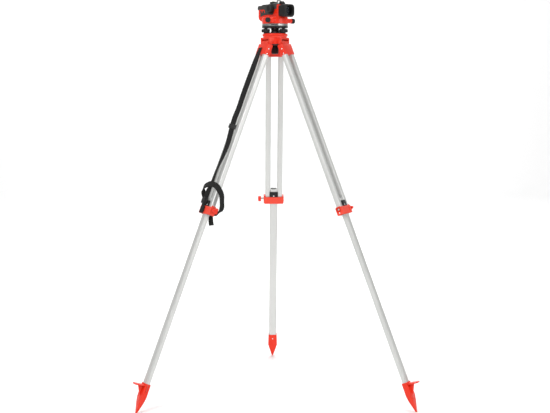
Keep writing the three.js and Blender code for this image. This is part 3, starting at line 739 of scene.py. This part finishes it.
def foot(name):
    collar = FOOT_LENGTH
    front = [(-2.5, -3), (2.5, -3), (22.5, 72), (20.8, collar), (-20.8, collar), (-22.5, 72)]
    edge = [(2.5, -3), (10.5, 50), (12, 80), (12, collar)]
    side = [(-2.5, -3)] + edge + [(-12, collar), (-12, 80), (-10.5, 50)]
    spike = bevel(common(facing(front, -30, 30), upright(side, -30, 30)), 1.6, 3, 20)
    tread = bevel(slab(rounded(4, 58, -17, 17, 9), -5.5, 0), 1.2, 2)
    tread = shift(turn(tread, math.degrees(0.1), "Y"), 0, 0, collar - 5)
    gusset = bevel(upright([(8, collar - 11), (37, collar - 11), (8, 66)], -3.5, 3.5), 0.9, 2)
    socket = block(-LOWER_DEPTH / 2 - GAP, LOWER_DEPTH / 2 + GAP, -18.8, 18.8, collar - 44.3, collar + 5)
    slit = block(-1.2, 1.2, 15, 30, collar - 38, collar + 5)
    ground = turn(block(-60, 60, -60, 60, -60, 0), math.degrees(SPREAD), "Y")
    shoe = cut(fuse(spike, tread, gusset), socket, slit, ground)
    here, body = LEGS[name] @ Matrix.Translation((0, 0, -LEG_LENGTH)), f"lower_leg_{name}_unit"
    place(shoe, f"foot_{name}_casting", here, body, "red_casting", red_casting, f"foot_{name}")
    screw = shift(turn(rivet(3.4, 1.4), -90, "Y"), -12, 0, collar - 22)
    place(screw, f"foot_screw_head_{name}", here, body, "zinc_steel", bright_steel)


tripod_head()
retaining_arm()
fixing_screw()
fixing_knob()
for leg in LEG_NAMES:
    leg_bracket(leg)
    hinge_pin(leg)
    upper_tube(leg, -1, "a")
    upper_tube(leg, 1, "b")
    clamp_body(leg)
    clamp_screw(leg)
    slider_guide(leg)
    lower_leg(leg)
    foot(leg)


# ---- Levelling base ----

def base_plate():
    outline = rounded(-16, SCREW_CIRCLE + 9, -13, 13, 12.9, 10)
    arms = around(SCREW_AZIMUTHS, lambda: bevel(slab(outline, GAP, 4), 0.7))
    plate = cut(fuse(*arms, rod(19, GAP, 10, 64)), rod(8.3, -5, 20, 48))
    place(plate, "base_spring_plate", HEAD, "head", "black_metal", black_enamel, "base_plate")


def foot_screw(number, azimuth):
    knob = bevel(slab(scalloped(18.5, 12, 1.8, 8), 4.8, 18.5), 1.3, 3, 50)
    face = turned([(0, 18.4), (14.5, 18.4), (13.5, 19.3), (7, 19.9), (0, 19.9)])
    stem = rod(6.5, 18.4, 21.2, 48)
    thread = rod(4, 21, 29)
    screw = gather(knob, face, stem, thread)
    angle = math.radians(azimuth)
    shift(screw, SCREW_CIRCLE * math.cos(angle), SCREW_CIRCLE * math.sin(angle), 0)
    node = f"foot_screw_{number}"
    place(screw, node + "_knob", HEAD, node + "_unit", "black_plastic", black_moulding, node)


def tribrach():
    rim = arc(56, 26, 1.5, -60, 0, 4) + [(57.5, 31), (57, 31.5)]
    disc = turned([(10.3, 24), (55.5, 24)] + rim + [(10.3, 31.5)], 96)
    boss = turned([(10.3, 13), (16.2, 13), (17, 13.8), (19, 24.5), (10.3, 24.5)], 64)
    cup = [(0, 21.5), (7.4, 21.5), (8, 22.1), (8, 24.5), (0, 24.5)]
    cups = around(SCREW_AZIMUTHS, lambda: shift(turned(cup, 40), SCREW_CIRCLE, 0, 0))
    bores = around(SCREW_AZIMUTHS, lambda: shift(rod(PIN_BORE, 15, 29.3), SCREW_CIRCLE, 0, 0))
    body = cut(fuse(disc, boss, *cups), *bores)
    place(body, "tribrach_disc", HEAD, "head", "black_metal", black_enamel, "tribrach")


WINDOW_START, WINDOW_END = -107, -79
WINDOW_PANES = 9
INDEX_AZIMUTH = -74
TICKS = 120


def place_on_circle(shells, name, slot, material):
    place(gather(*shells), name, HEAD, "circle", slot, material)


def horizontal_circle():
    """The graduated ring: a groove all round holds the scale's lines, pale ones in a dark window."""
    profile = [(30, 31.8), (55.6, 31.8), (56.2, 32.4), (56.2, 33.6), (55.6, 34), (55.6, 39.2), (56.2, 39.6)]
    ring = turned(profile + [(56.2, 40.9), (55.5, 41.6), (30, 41.6)], 120)
    place(ring, "circle_ring", HEAD, "circle", "ring_metal", ring_metal, "horizontal_circle")
    azimuths = [WINDOW_START + 1 + 3.2 * pane for pane in range(WINDOW_PANES)]
    panes = around(azimuths, lambda: block(55.4, 55.75, -1.7, 1.7, 34.1, 39.1))
    place_on_circle(panes, "circle_scale_window", "black_plastic", inside_black)
    dark, pale = [], []
    for tick in range(TICKS):
        tall = 4.4 if tick % 10 == 0 else 3.2 if tick % 5 == 0 else 2.2
        azimuth = tick * 360 / TICKS - 360 * (tick > TICKS / 2)
        inside = WINDOW_START < azimuth < WINDOW_END
        line = block(55.5, 56.0 if inside else 55.8, -0.28, 0.28, 34.3, 34.3 + tall)
        (pale if inside else dark).append(turn(line, azimuth, "Z"))
    place_on_circle(dark, "circle_graduations", "black_plastic", inside_black)
    place_on_circle(pale, "circle_window_lines", "grey_plastic", white_paint)
    pointer = bevel(block(55.5, 56.6, -1.8, 1.8, 33.6, 40.6), 0.4, 2)
    pointer = turn(pointer, INDEX_AZIMUTH, "Z")
    place_on_circle([pointer], "circle_index_plate", "zinc_steel", bright_steel)
    grip = around(range(0, 360, 4), lambda: block(56.0, 56.45, -0.7, 0.7, 32.2, 33.4))
    place_on_circle(grip, "circle_knurling", "ring_metal", ring_metal)


# ---- Level ----

SKIN = HALF_WIDTH - 1.8
HOUSING_REAR = -86
COVER_FRONT = 43.6
HOOD_START = 55
HOOD_END = 102
BORE_RADIUS = 16
FOCUS_ALONG, FOCUS_HEIGHT = 12, 106
TANGENT_ALONG, TANGENT_HEIGHT = 33, 55.6
PENDULUM_ALONG, PENDULUM_PIVOT = -17, 114
FOCUSING_ALONG = 36


def at_tangent(obj):
    return shift(along_y(obj), TANGENT_ALONG, 0, TANGENT_HEIGHT)


def at_focus(obj):
    return shift(along_y(obj), FOCUS_ALONG, 0, FOCUS_HEIGHT)


def on_sight_line(obj):
    return shift(along_x(obj), 0, 0, SIGHT_HEIGHT)


def place_level(obj, name, slot, material, *nodes, body="alidade", **options):
    return place(obj, name, LEVEL, body, slot, material, *nodes, **options)


def loft(sections, steps=8):
    """Rounded rectangles in Y and Z stacked along X: (x, half width, low, high, radius)."""
    points, faces = [], []
    for x, half, low, high, radius in sections:
        points += [(x, y, z) for y, z in rounded(-half, half, low, high, radius, steps)]
    count = len(points) // len(sections)
    for ring in range(len(sections) - 1):
        for i in range(count):
            a, b = ring * count + i, ring * count + (i + 1) % count
            faces.append((a, b, b + count, a + count))
    faces.append(tuple(range(count))[::-1])
    faces.append(tuple(range(len(points) - count, len(points))))
    return solid(points, faces)


def housing_side():
    return path(
        (COVER_FRONT + 0.4, 60), (COVER_FRONT + 0.4, 124), (-54, 124), (-58, 120.5), (-77, 120.5),
        ((HOUSING_REAR, 120.5), (HOUSING_REAR, 111)), (HOUSING_REAR, 76),
        ((HOUSING_REAR, 66), (-76, 60)), (-52, 50), (0, 50),
    )


def main_body():
    housing = bevel(upright(housing_side(), -SKIN, SKIN), 2.6, 4, 50)
    flange = facing(rounded(-HALF_WIDTH, HALF_WIDTH, 60, 122, 6), COVER_FRONT + 0.3, HOOD_START - 0.3)
    flange = bevel(flange, 0.9, 3, 60)
    drum_profile = (
        [(0, 42), (55.7, 42), (DRUM_RADIUS, 42.8)]
        + arc(DRUM_RADIUS - 8, 64, 8, 0, 90, 10)
        + [(0, 72)]
    )
    drum = turned(drum_profile, 96)
    spindle = rod(10, 20, 43, 48)
    boss_profile = [(0, -59.7), (9.6, -59.7), (10.5, -58.8), (10.5, 62.3), (9.6, 63.2), (0, 63.2)]
    bosses = at_tangent(turned(boss_profile, 48))
    cowl = at_tangent(turned([(0, -56)] + arc(0, -44, 13.5, -62, 0, 8) + [(13.5, -30), (0, -30)], 48))
    shell = fuse(drum, housing, flange, spindle, bosses, cowl)
    bore = on_sight_line(rod(BORE_RADIUS, -74, 80, 64))
    rear_bore = on_sight_line(rod(14, -120, -73, 64))
    chamber = block(-34, 0, -18, 18, 76, 118)
    focus_bore = at_focus(rod(4.4, -60, 0))
    axle_bore = shift(along_y(rod(2.4, -22, 22, 20)), PENDULUM_ALONG, 0, PENDULUM_PIVOT)
    tangent_bore = at_tangent(rod(4.4, -90, 90))
    body = cut(shell, bore, rear_bore, chamber, focus_bore, axle_bore, tangent_bore)
    place_level(body, "main_body_casting", "level_red", red_enamel, "main_body", soft_angle=42)


def cover_side():
    """The saddle's side view, with the notched panel that it runs down into."""
    return path(
        (COVER_FRONT, 127), (-55, 127), (-59, 123.5), (-78, 123.5), ((-89, 123.5), (-89, 112)),
        (-89, 106), (-46, 106), ((-39, 106), (-37, 92)), ((-40, 90), (-43, 92), 4),
        (-46, 100), ((-47, 102), (-50, 102), 3), ((-53, 102), (-54, 100), 3),
        (-56.5, 93), ((-59, 91), (-61.5, 93), 4),
        (-64, 101.5), (-65.5, 102.5), (-71.4, 102.5), (-69, 74.5), ((-50, 82), (-18, 82.5), 12),
        (15, 81), ((17, 81), (18, 83), 3), (27.8, 99.2), ((28, 101), (25, 101), 3),
        (18.5, 101), (12.5, 92), ((9.5, 90), (7, 92), 4), ((8, 104.3), (16, 104.3)),
        (COVER_FRONT, 104.3),
    )


def top_cover():
    saddle = bevel(upright(cover_side(), -HALF_WIDTH, HALF_WIDTH), 1.1, 3, 62)
    core, clearance = (upright(housing_side(), -SKIN - GAP, SKIN + GAP) for _ in range(2))
    shift(clearance, -0.4, 0, 0.3)
    eye_hole = on_sight_line(rod(14, -120, -80, 64))
    focus_hole = at_focus(rod(7, -60, 0))
    cover = cut(saddle, core, clearance, eye_hole, focus_hole)
    place_level(cover, "top_cover_moulding", "grey_plastic", grey_moulding, "top_cover")


def objective_hood():
    sections = [
        (HOOD_START, 25, 72.5, 118.5, 8.5), (HOOD_START + 1.2, 26, 71.4, 119.7, 9),
        (64, 26.6, 70.4, 120.8, 9.6), (74, 27.5, 69, 122.3, 10.4), (84, 28, 68.2, 123.2, 11),
        (93, 28, 68.2, 123.2, 12.2), (97, 27.5, 68.7, 122.7, 13), (99.6, 26.6, 69.7, 121.6, 13.5),
        (101.4, 25.3, 71.1, 120.3, 13.8), (HOOD_END, 24, 72.4, 119, 13.8),
    ]
    recess = on_sight_line(turned([(0, 72), (20, 72), (20, 96), (22.6, 103), (0, 103)]))
    throat = on_sight_line(rod(BORE_RADIUS, 40, 80, 64))
    hood = cut(loft(sections), recess, throat)
    slot = "black_plastic"
    place_level(hood, "objective_hood_moulding", slot, black_moulding, "objective_hood")
    rings = []
    for along in (84, 87, 90, 93):
        ridge = turned([(20.2, along), (20.2, along + 1.6), (19.2, along + 0.8)])
        rings.append(on_sight_line(ridge))
    place_level(gather(*rings), "hood_glare_rings", slot, inside_black)
    retainer = on_sight_line(turned([(17.2, 81), (19.9, 81), (19.9, 83), (18.0, 83)]))
    place_level(retainer, "objective_retainer", slot, inside_black)


def lens(radius, along, thickness, bulge):
    edge = thickness / 2
    face = [(radius * x, edge + bulge * y) for x, y in arc(0, 0, 1, 0, 80, 8)]
    profile = [(0, -edge - bulge)] + [(r, -z) for r, z in face][::-1] + face + [(0, edge + bulge)]
    return shift(along_x(turned(profile)), along, 0, SIGHT_HEIGHT)


def eyepiece():
    profile = [(7, -75), (13.6, -75), (13.6, -89.5), (13, -90), (13, -99.6), (12.2, -101)]
    barrel = on_sight_line(turned(profile + [(10.5, -101.5), (8.4, -100), (7, -98.4)]))
    ribs = around(range(0, 360, 10), lambda: bevel(block(12.8, 13.5, -0.5, 0.5, -98.5, -91.5), 0.25, 1))
    grip = on_sight_line(gather(*ribs))
    body, glass = "eyepiece_unit", lens(6.6, -97, 2.4, 0.8)
    place_level(gather(barrel, grip), "eyepiece_barrel", "black_plastic", black_rubber, "eyepiece", body=body)
    place_level(glass, "eye_lens", "optical_glass", coated_glass, "eyepiece_lens", body=body)


def focus_knob():
    grip = bevel(slab(scalloped(19, 28, 1.2, 6), -45.5, -28.6), 0.9, 2, 50)
    cap = turned([(0, -47), (15.6, -47), (16.5, -46.4), (16.5, -45.3), (0, -45.3)])
    dish = turned([(0, -48), (11.5, -48), (10.8, -46.2), (0, -46.2)])
    shaft = rod(4, -28.7, -17.5)
    knob = at_focus(gather(grip, cut(cap, dish), shaft))
    place_level(knob, "focusing_knob", "black_plastic", black_rubber, "focus_knob", body="focus_unit")


def inner_optics():
    cell = turned([(11, -6), (11.6, -6), (15.6, -5.4), (15.6, 5.4), (11.6, 6), (11, 6)])
    cell = shift(along_x(cell), FOCUSING_ALONG, 0, SIGHT_HEIGHT)
    place_level(cell, "focusing_lens_cell", "ring_metal", brass, "focusing_cell", body="focusing_unit")
    glass = lens(10.6, FOCUSING_ALONG, 3, 1.4)
    place_level(glass, "focusing_glass", "optical_glass", coated_glass, "focusing_lens", body="focusing_unit")
    front = lens(19.6, 78, 4, 2)
    place_level(front, "objective_glass", "optical_glass", coated_glass, "objective_lens")
    arm = bevel(upright([(-19, 88), (-15, 88), (-15, 113), (-19, 113)], -3, 3), 0.3)
    axle = shift(along_y(rod(2, -21, 21)), PENDULUM_ALONG, 0, PENDULUM_PIVOT)
    prism = bevel(upright([(-27, 84), (-7, 84), (-10, 94), (-24, 94)], -11, 11), 0.4)
    pendulum = gather(arm, axle, prism)
    place_level(pendulum, "compensator_pendulum", "ring_metal", ring_metal, "compensator", body="pendulum")


def drive_knob(start, end, face):
    """A small ribbed knob about Z from start to end, with its cap beyond the end."""
    low, high = sorted((start, end))
    grip = bevel(slab(scalloped(11, 20, 0.9, 6), low, high), 0.7, 2, 50)
    edge = end + (face - end) * 0.5
    cap = turned([(0, face), (7.9, face), (8.5, edge), (8.5, end), (0, end)])
    return gather(grip, cap)


def tangent_drive():
    body, slot = "tangent_unit", "black_plastic"
    screw = at_tangent(gather(drive_knob(63.5, 79, 80.3), rod(4, -66, 64.7)))
    place_level(screw, "tangent_drive_screw", slot, black_rubber, "tangent_screw", body=body)
    right = at_tangent(drive_knob(-60, -73, -74.3))
    place_level(right, "tangent_drive_knob", slot, black_rubber, "tangent_knob", body=body)


BUBBLE_ALONG = -10
MIRROR_ALONG, MIRROR_HEIGHT, MIRROR_LENGTH = 27, 141.5, 22


def circular_bubble():
    cup_profile = [(11.3, 131.2), (11.3, 137), (12.4, 137.5), (15.6, 137.5), (16.5, 136.6)]
    cup = shift(turned(cup_profile + [(16.5, 130.2), (11.3, 130.2)]), BUBBLE_ALONG, 0, 0)
    place_level(cup, "bubble_cup", "grey_plastic", black_moulding, "bubble_housing")
    base = bevel(slab(rounded(-31, 35, -12, 12, 4), 127.3, 130.3), 0.8, 2)
    forks = []
    for side in (-10, 7):
        fork = upright([(22, 130), (32, 130), (30, 144), (24, 144)], side, side + 3)
        forks.append(bevel(fork, 0.8, 2))
    bore = shift(along_y(rod(1.4, -20, 20)), MIRROR_ALONG, 0, MIRROR_HEIGHT)
    plate = cut(fuse(base, *forks), bore)
    place_level(plate, "bubble_base_plate", "grey_plastic", ring_metal)
    screws = []
    for along in (-29, 17):
        head = turned([(0, 131.6), (2, 131.5), (2.9, 130.9), (3, 130.2), (0, 130.2)], 24)
        screws.append(cut(shift(head, along, 0, 0), block(along - 0.4, along + 0.4, -4, 4, 131.1, 133)))
    place_level(gather(*screws), "bubble_base_screws", "zinc_steel", bright_steel)
    dome = [(11, 137.3), (10, 138.7), (8, 139.8), (6, 140.5), (4, 141), (2, 141.2)]
    vial = turned([(0, 131.5), (11, 131.5)] + dome + [(0, 141.3)])
    vial = shift(vial, BUBBLE_ALONG, 0, 0)
    place_level(vial, "bubble_vial_glass", "optical_glass", bubble_liquid, "bubble_vial")
    ring = turned([(4.1, 140.9), (4.1, 141.25), (4.9, 141.0), (4.9, 140.6)])
    ring = shift(ring, BUBBLE_ALONG, 0, 0)
    place_level(ring, "bubble_target_ring", "black_plastic", inside_black)


def bubble_mirror():
    frame_plate = bevel(block(-1.3, 1.3, -6.5, 6.5, 0, MIRROR_LENGTH), 0.5, 2)
    pin = along_y(rod(1.2, -9, 9, 24))
    eye = along_y(rod(2.6, -6.5, 6.5, 32))
    holder = shift(gather(frame_plate, pin, eye), MIRROR_ALONG, 0, MIRROR_HEIGHT)
    place_level(holder, "mirror_holder", "mirror_face", zinc, "bubble_mirror", body="mirror_unit")
    glass = bevel(block(-1.55, -1.25, -5.4, 5.4, 3.4, MIRROR_LENGTH - 1.2), 0.1, 1)
    glass = shift(glass, MIRROR_ALONG, 0, MIRROR_HEIGHT)
    place_level(glass, "mirror_glass", "mirror_face", mirror_silver, body="mirror_unit")


def open_sight():
    side = [(36.5, 127.3), (44.3, 127.3), (44.3, 122.4), (56, 122.4), (62.5, 125.5), (61, 130)]
    side += [(52, 138), (40, 138), (36.5, 133)]
    wedge = bevel(upright(side, -7, 7), 0.9, 2, 40)
    wedge = cut(wedge, block(30, 80, -1.5, 1.5, 133, 150))
    place_level(wedge, "open_sight_wedge", "black_plastic", black_moulding, "open_sight")


base_plate()
for number, azimuth in enumerate(SCREW_AZIMUTHS, start=1):
    foot_screw(number, azimuth)
tribrach()
horizontal_circle()
main_body()
top_cover()
objective_hood()
eyepiece()
focus_knob()
inner_optics()
tangent_drive()
circular_bubble()
bubble_mirror()
open_sight()


# ---- Straps ----

STRAP_WIDTH = 25
STRAP_THICK = 2.2
CAM_DOWN = -741
PATCH_ACROSS, PATCH_DOWN = -18, -781
SHOULDER_ROUTE = [
    (15.9, -10, -30, 0), (18.5, -8, -62, 10), (24, 3, -100, 28), (27, 8, -152, 37), (27, 6, -216, 37),
    (27, 6, -262, 35), (27, 8, -314, 33), (27, 4, -368, 35), (26, 12, -432, 33), (24, 16, -482, 22),
    (22, 8, -540, 8), (21, -6, -600, -8), (20, -10, -659, 0), (21, -13, -688, 15), (22, -14, -717, 25),
    (21, -17, -748, 10), (18.4, -18, -770, 0), (18.2, -18, -796, 0),
]
LOOP_ROUTE = [
    (30, -50, -689, 0, 0, 1), (33, -5, -669, 0, 0, 1), (25, 34, -668, 0, 0.2, 1),
    (13.4, 55, -680, -0.5, 0.1, 0.85),
    (-3, 67, -701, -0.85, 0, 0.4), (-14, 70, -727, -0.95, -0.2, 0), (-25, 67, -752, -0.95, -0.2, 0.1),
    (-28, 55, -774, -0.6, -0.2, 0.7), (-20, 30, -781, 0, 0, 1), (-18.2, 0, -778, 0, 0, 1),
    (-20, -34, -760, 0, 0, 1), (-6, -60, -728, 0, 0, 1), (14, -64, -706, 0, 0, 1),
]
TAIL_ROUTE = [
    (-22, 5, -786, 0, 1, 0), (-22, 8, -800, -0.2, 1, 0), (-25, 12, -815, -0.45, 0.9, 0),
    (-34, 15, -834, -0.6, 0.8, 0),
]


def spline(stations, t, closed):
    """The point at t from 0 to 1 on a smooth curve through the stations, and its heading."""
    spans = len(stations) - (0 if closed else 1)
    at = min(int(t * spans), spans - 1)
    u = t * spans - at
    ends = []
    for i in (at - 1, at, at + 1, at + 2):
        if closed:
            ends.append(Vector(stations[i % len(stations)]))
        elif i < 0:
            ends.append(2 * Vector(stations[0]) - Vector(stations[1]))
        elif i >= len(stations):
            ends.append(2 * Vector(stations[-1]) - Vector(stations[-2]))
        else:
            ends.append(Vector(stations[i]))
    a, b, c, d = ends
    bend = [2 * b, c - a, 2 * a - 5 * b + 4 * c - d, 3 * b - a - 3 * c + d]
    place_at = (bend[0] + bend[1] * u + bend[2] * u ** 2 + bend[3] * u ** 3) / 2
    heading = (bend[1] + 2 * bend[2] * u + 3 * bend[3] * u ** 2) / 2
    return place_at, heading


def webbing_section():
    """Half of a webbing's cross-section: a flat band with ribs and thick rolled edges."""
    ribs = []
    half, deep = STRAP_WIDTH / 2, STRAP_THICK / 2
    for i in range(11):
        across = half - 2.2 - (STRAP_WIDTH - 4.4) * i / 10
        ribs.append((across, deep * (0.86 if i % 2 else 0.98)))
    edge = [(half, 0), (half - 0.25, deep * 0.75), (half - 0.9, deep)]
    return edge + ribs + [(-x, z) for x, z in edge[::-1]][:2]


def webbing(stations, steps, closed=False):
    top = webbing_section()
    section = top + [(x, -z) for x, z in [(-STRAP_WIDTH / 2, 0)] + top[::-1][:-1]]
    lines = [station[:3] for station in stations]
    wides = [station[3:] for station in stations]
    points, faces = [], []
    rings = steps if closed else steps + 1
    for i in range(rings):
        centre, heading = spline(lines, i / steps, closed)
        heading.normalize()
        wide = spline(wides, i / steps, closed)[0]
        wide = (wide - heading * wide.dot(heading)).normalized()
        thick = heading.cross(wide)
        points += [centre + wide * x + thick * z for x, z in section]
    count = len(section)
    for i in range(steps):
        for k in range(count):
            a, b = i * count + k, i * count + (k + 1) % count
            c, d = (i + 1) % rings * count + (k + 1) % count, (i + 1) % rings * count + k
            faces.append((a, b, c, d))
    if not closed:
        faces.append(tuple(range(count))[::-1])
        faces.append(tuple(range(steps * count, (steps + 1) * count)))
    return outward(solid(points, faces))


def outward(obj):
    mesh = bmesh.new()
    mesh.from_mesh(obj.data)
    bmesh.ops.recalc_face_normals(mesh, faces=mesh.faces)
    mesh.to_mesh(obj.data)
    mesh.free()
    return obj


def twisted(route):
    turns = [(station, math.radians(station[3])) for station in route]
    return [(x, y, z, -math.sin(a), math.cos(a), 0) for (x, y, z, _), a in turns]


def ladder_buckle(x, y, z, twist, half_height):
    """A slide buckle: a frame with a middle bar that the webbing is threaded round."""
    frame_part = slab(rounded(-3.4, 3.4, -17.3, 17.3, 2.6), -half_height, half_height)
    opening = slab(rounded(-1.6, 1.6, -14.2, 14.2, 1.2), -40, 40)
    body = bevel(cut(frame_part, opening), 0.5, 2)
    bars = []
    for middle in (-half_height + 1.8, 0, half_height - 1.8):
        bars.append(bevel(block(2.2, 4.6, -15.5, 15.5, middle - 1.5, middle + 1.5), 0.8, 3))
    whole = gather(body, *bars)
    return shift(turn(whole, twist, "Z"), x, y, z)


def stitches(x, y, z, twist, half_wide, half_tall):
    """A box of stitches with a cross in it, on the outer face of a strap."""
    a, b = (-half_wide, -half_tall), (half_wide, -half_tall)
    c, d = (half_wide, half_tall), (-half_wide, half_tall)
    seams = [(a, b), (b, c), (c, d), (d, a), (a, c), (b, d)]
    threads = []
    for (y0, z0), (y1, z1) in seams:
        count = max(2, round(math.hypot(y1 - y0, z1 - z0) / 2.4))
        for i in range(count):
            t = (i + 0.5) / count
            angle = math.degrees(math.atan2(z1 - z0, y1 - y0))
            thread = bevel(block(-0.12, 0.3, -0.8, 0.8, -0.25, 0.25), 0.12, 1)
            threads.append(shift(turn(thread, angle, "X"), 0, y0 + (y1 - y0) * t, z0 + (z1 - z0) * t))
    return shift(turn(gather(*threads), twist, "Z"), x, y, z)


def place_webbing(obj, name, *nodes):
    place_on_leg(obj, name, "left", "webbing", strap_webbing, *nodes)


def place_buckle(obj, name, *nodes):
    place_on_leg(obj, name, "left", "black_plastic", black_moulding, *nodes)


def straps():
    place_webbing(webbing(twisted(SHOULDER_ROUTE), 200), "shoulder_strap_webbing", "shoulder_strap")
    place_webbing(webbing(LOOP_ROUTE, 150, closed=True), "tie_strap_webbing", "tie_strap")
    place_webbing(webbing(TAIL_ROUTE, 60), "strap_tail_webbing", "strap_tail")
    place_buckle(ladder_buckle(26.7, 7.8, -401, 34, 10), "strap_slide_buckle", "strap_buckle")
    lower = ladder_buckle(21.9, -16.6, CAM_DOWN, 12, 13)
    cam_profile = [(0, 0), (12.5, 0), (14.6, 1.2), (15, 2.6), (13.6, 4.4), (8, 5.6), (0, 6)]
    cam = shift(along_x(turned(cam_profile, 48)), 24.6, -17, CAM_DOWN)
    place_buckle(gather(lower, cam), "strap_end_buckle")
    patch = bevel(block(16.9, 20, -16.5, 16.5, -15, 15), 1.2, 3)
    place_webbing(shift(patch, 0, PATCH_ACROSS, PATCH_DOWN), "strap_end_patch")
    end_seams = stitches(20, PATCH_ACROSS, PATCH_DOWN, 0, 13, 12)
    place_webbing(gather(end_seams, stitches(17.3, -10, -40, 4, 9.5, 7)), "strap_stitches")


straps()


# ---- Studio ----

def floor():
    """A pale floor that curves up into a backdrop far behind the tripod."""
    half, near, far, bend = 14, -8, 9, 2.5
    turns = [math.radians(5 * i) for i in range(19)]
    sweep = [(far + bend * math.sin(a), bend * (1 - math.cos(a))) for a in turns]
    profile = [(near, 0), *sweep, (far + bend, 12)]
    points = [(x, y, z) for y, z in profile for x in (-half, half)]
    faces = [(2 * i, 2 * i + 1, 2 * i + 3, 2 * i + 2) for i in range(len(profile) - 1)]
    stage = solid(points, faces, "studio_floor")
    stage.data.shade_smooth()
    shade = Shade("studio_floor", 0.9)
    shade.colour(grey(0.90))
    stage.data.materials.append(shade.material)


def area_light(name, place, target, size, power):
    data = bpy.data.lights.new(name, "AREA")
    data.shape = "DISK"
    data.size = size
    data.energy = power
    light = bpy.data.objects.new(name, data)
    light.location = place
    light.rotation_euler = (Vector(target) - Vector(place)).to_track_quat("-Z", "Y").to_euler()
    bpy.context.scene.collection.objects.link(light)


def studio():
    floor()
    middle = (0, 0, 0.9)
    area_light("key_light", (-3.2, -4.5, 4.2), middle, 2.5, 170)
    area_light("fill_light", (4.2, -3.6, 2.6), middle, 3.0, 90)
    area_light("top_light", (0, 0.5, 5.5), middle, 3.5, 110)
    area_light("back_light", (1.0, 5.0, 3.5), middle, 3.5, 90)
    area_light("backdrop_light", (0, 3.0, 6.5), (0, 11, 1.5), 4.0, 520)
    world = bpy.data.worlds.new("studio_air")
    world.use_nodes = True
    set_inputs(world.node_tree.nodes["Background"], Color=(1, 1, 1, 1), Strength=0.5)
    bpy.context.scene.world = world
    bpy.context.scene.view_settings.view_transform = "Standard"


studio()
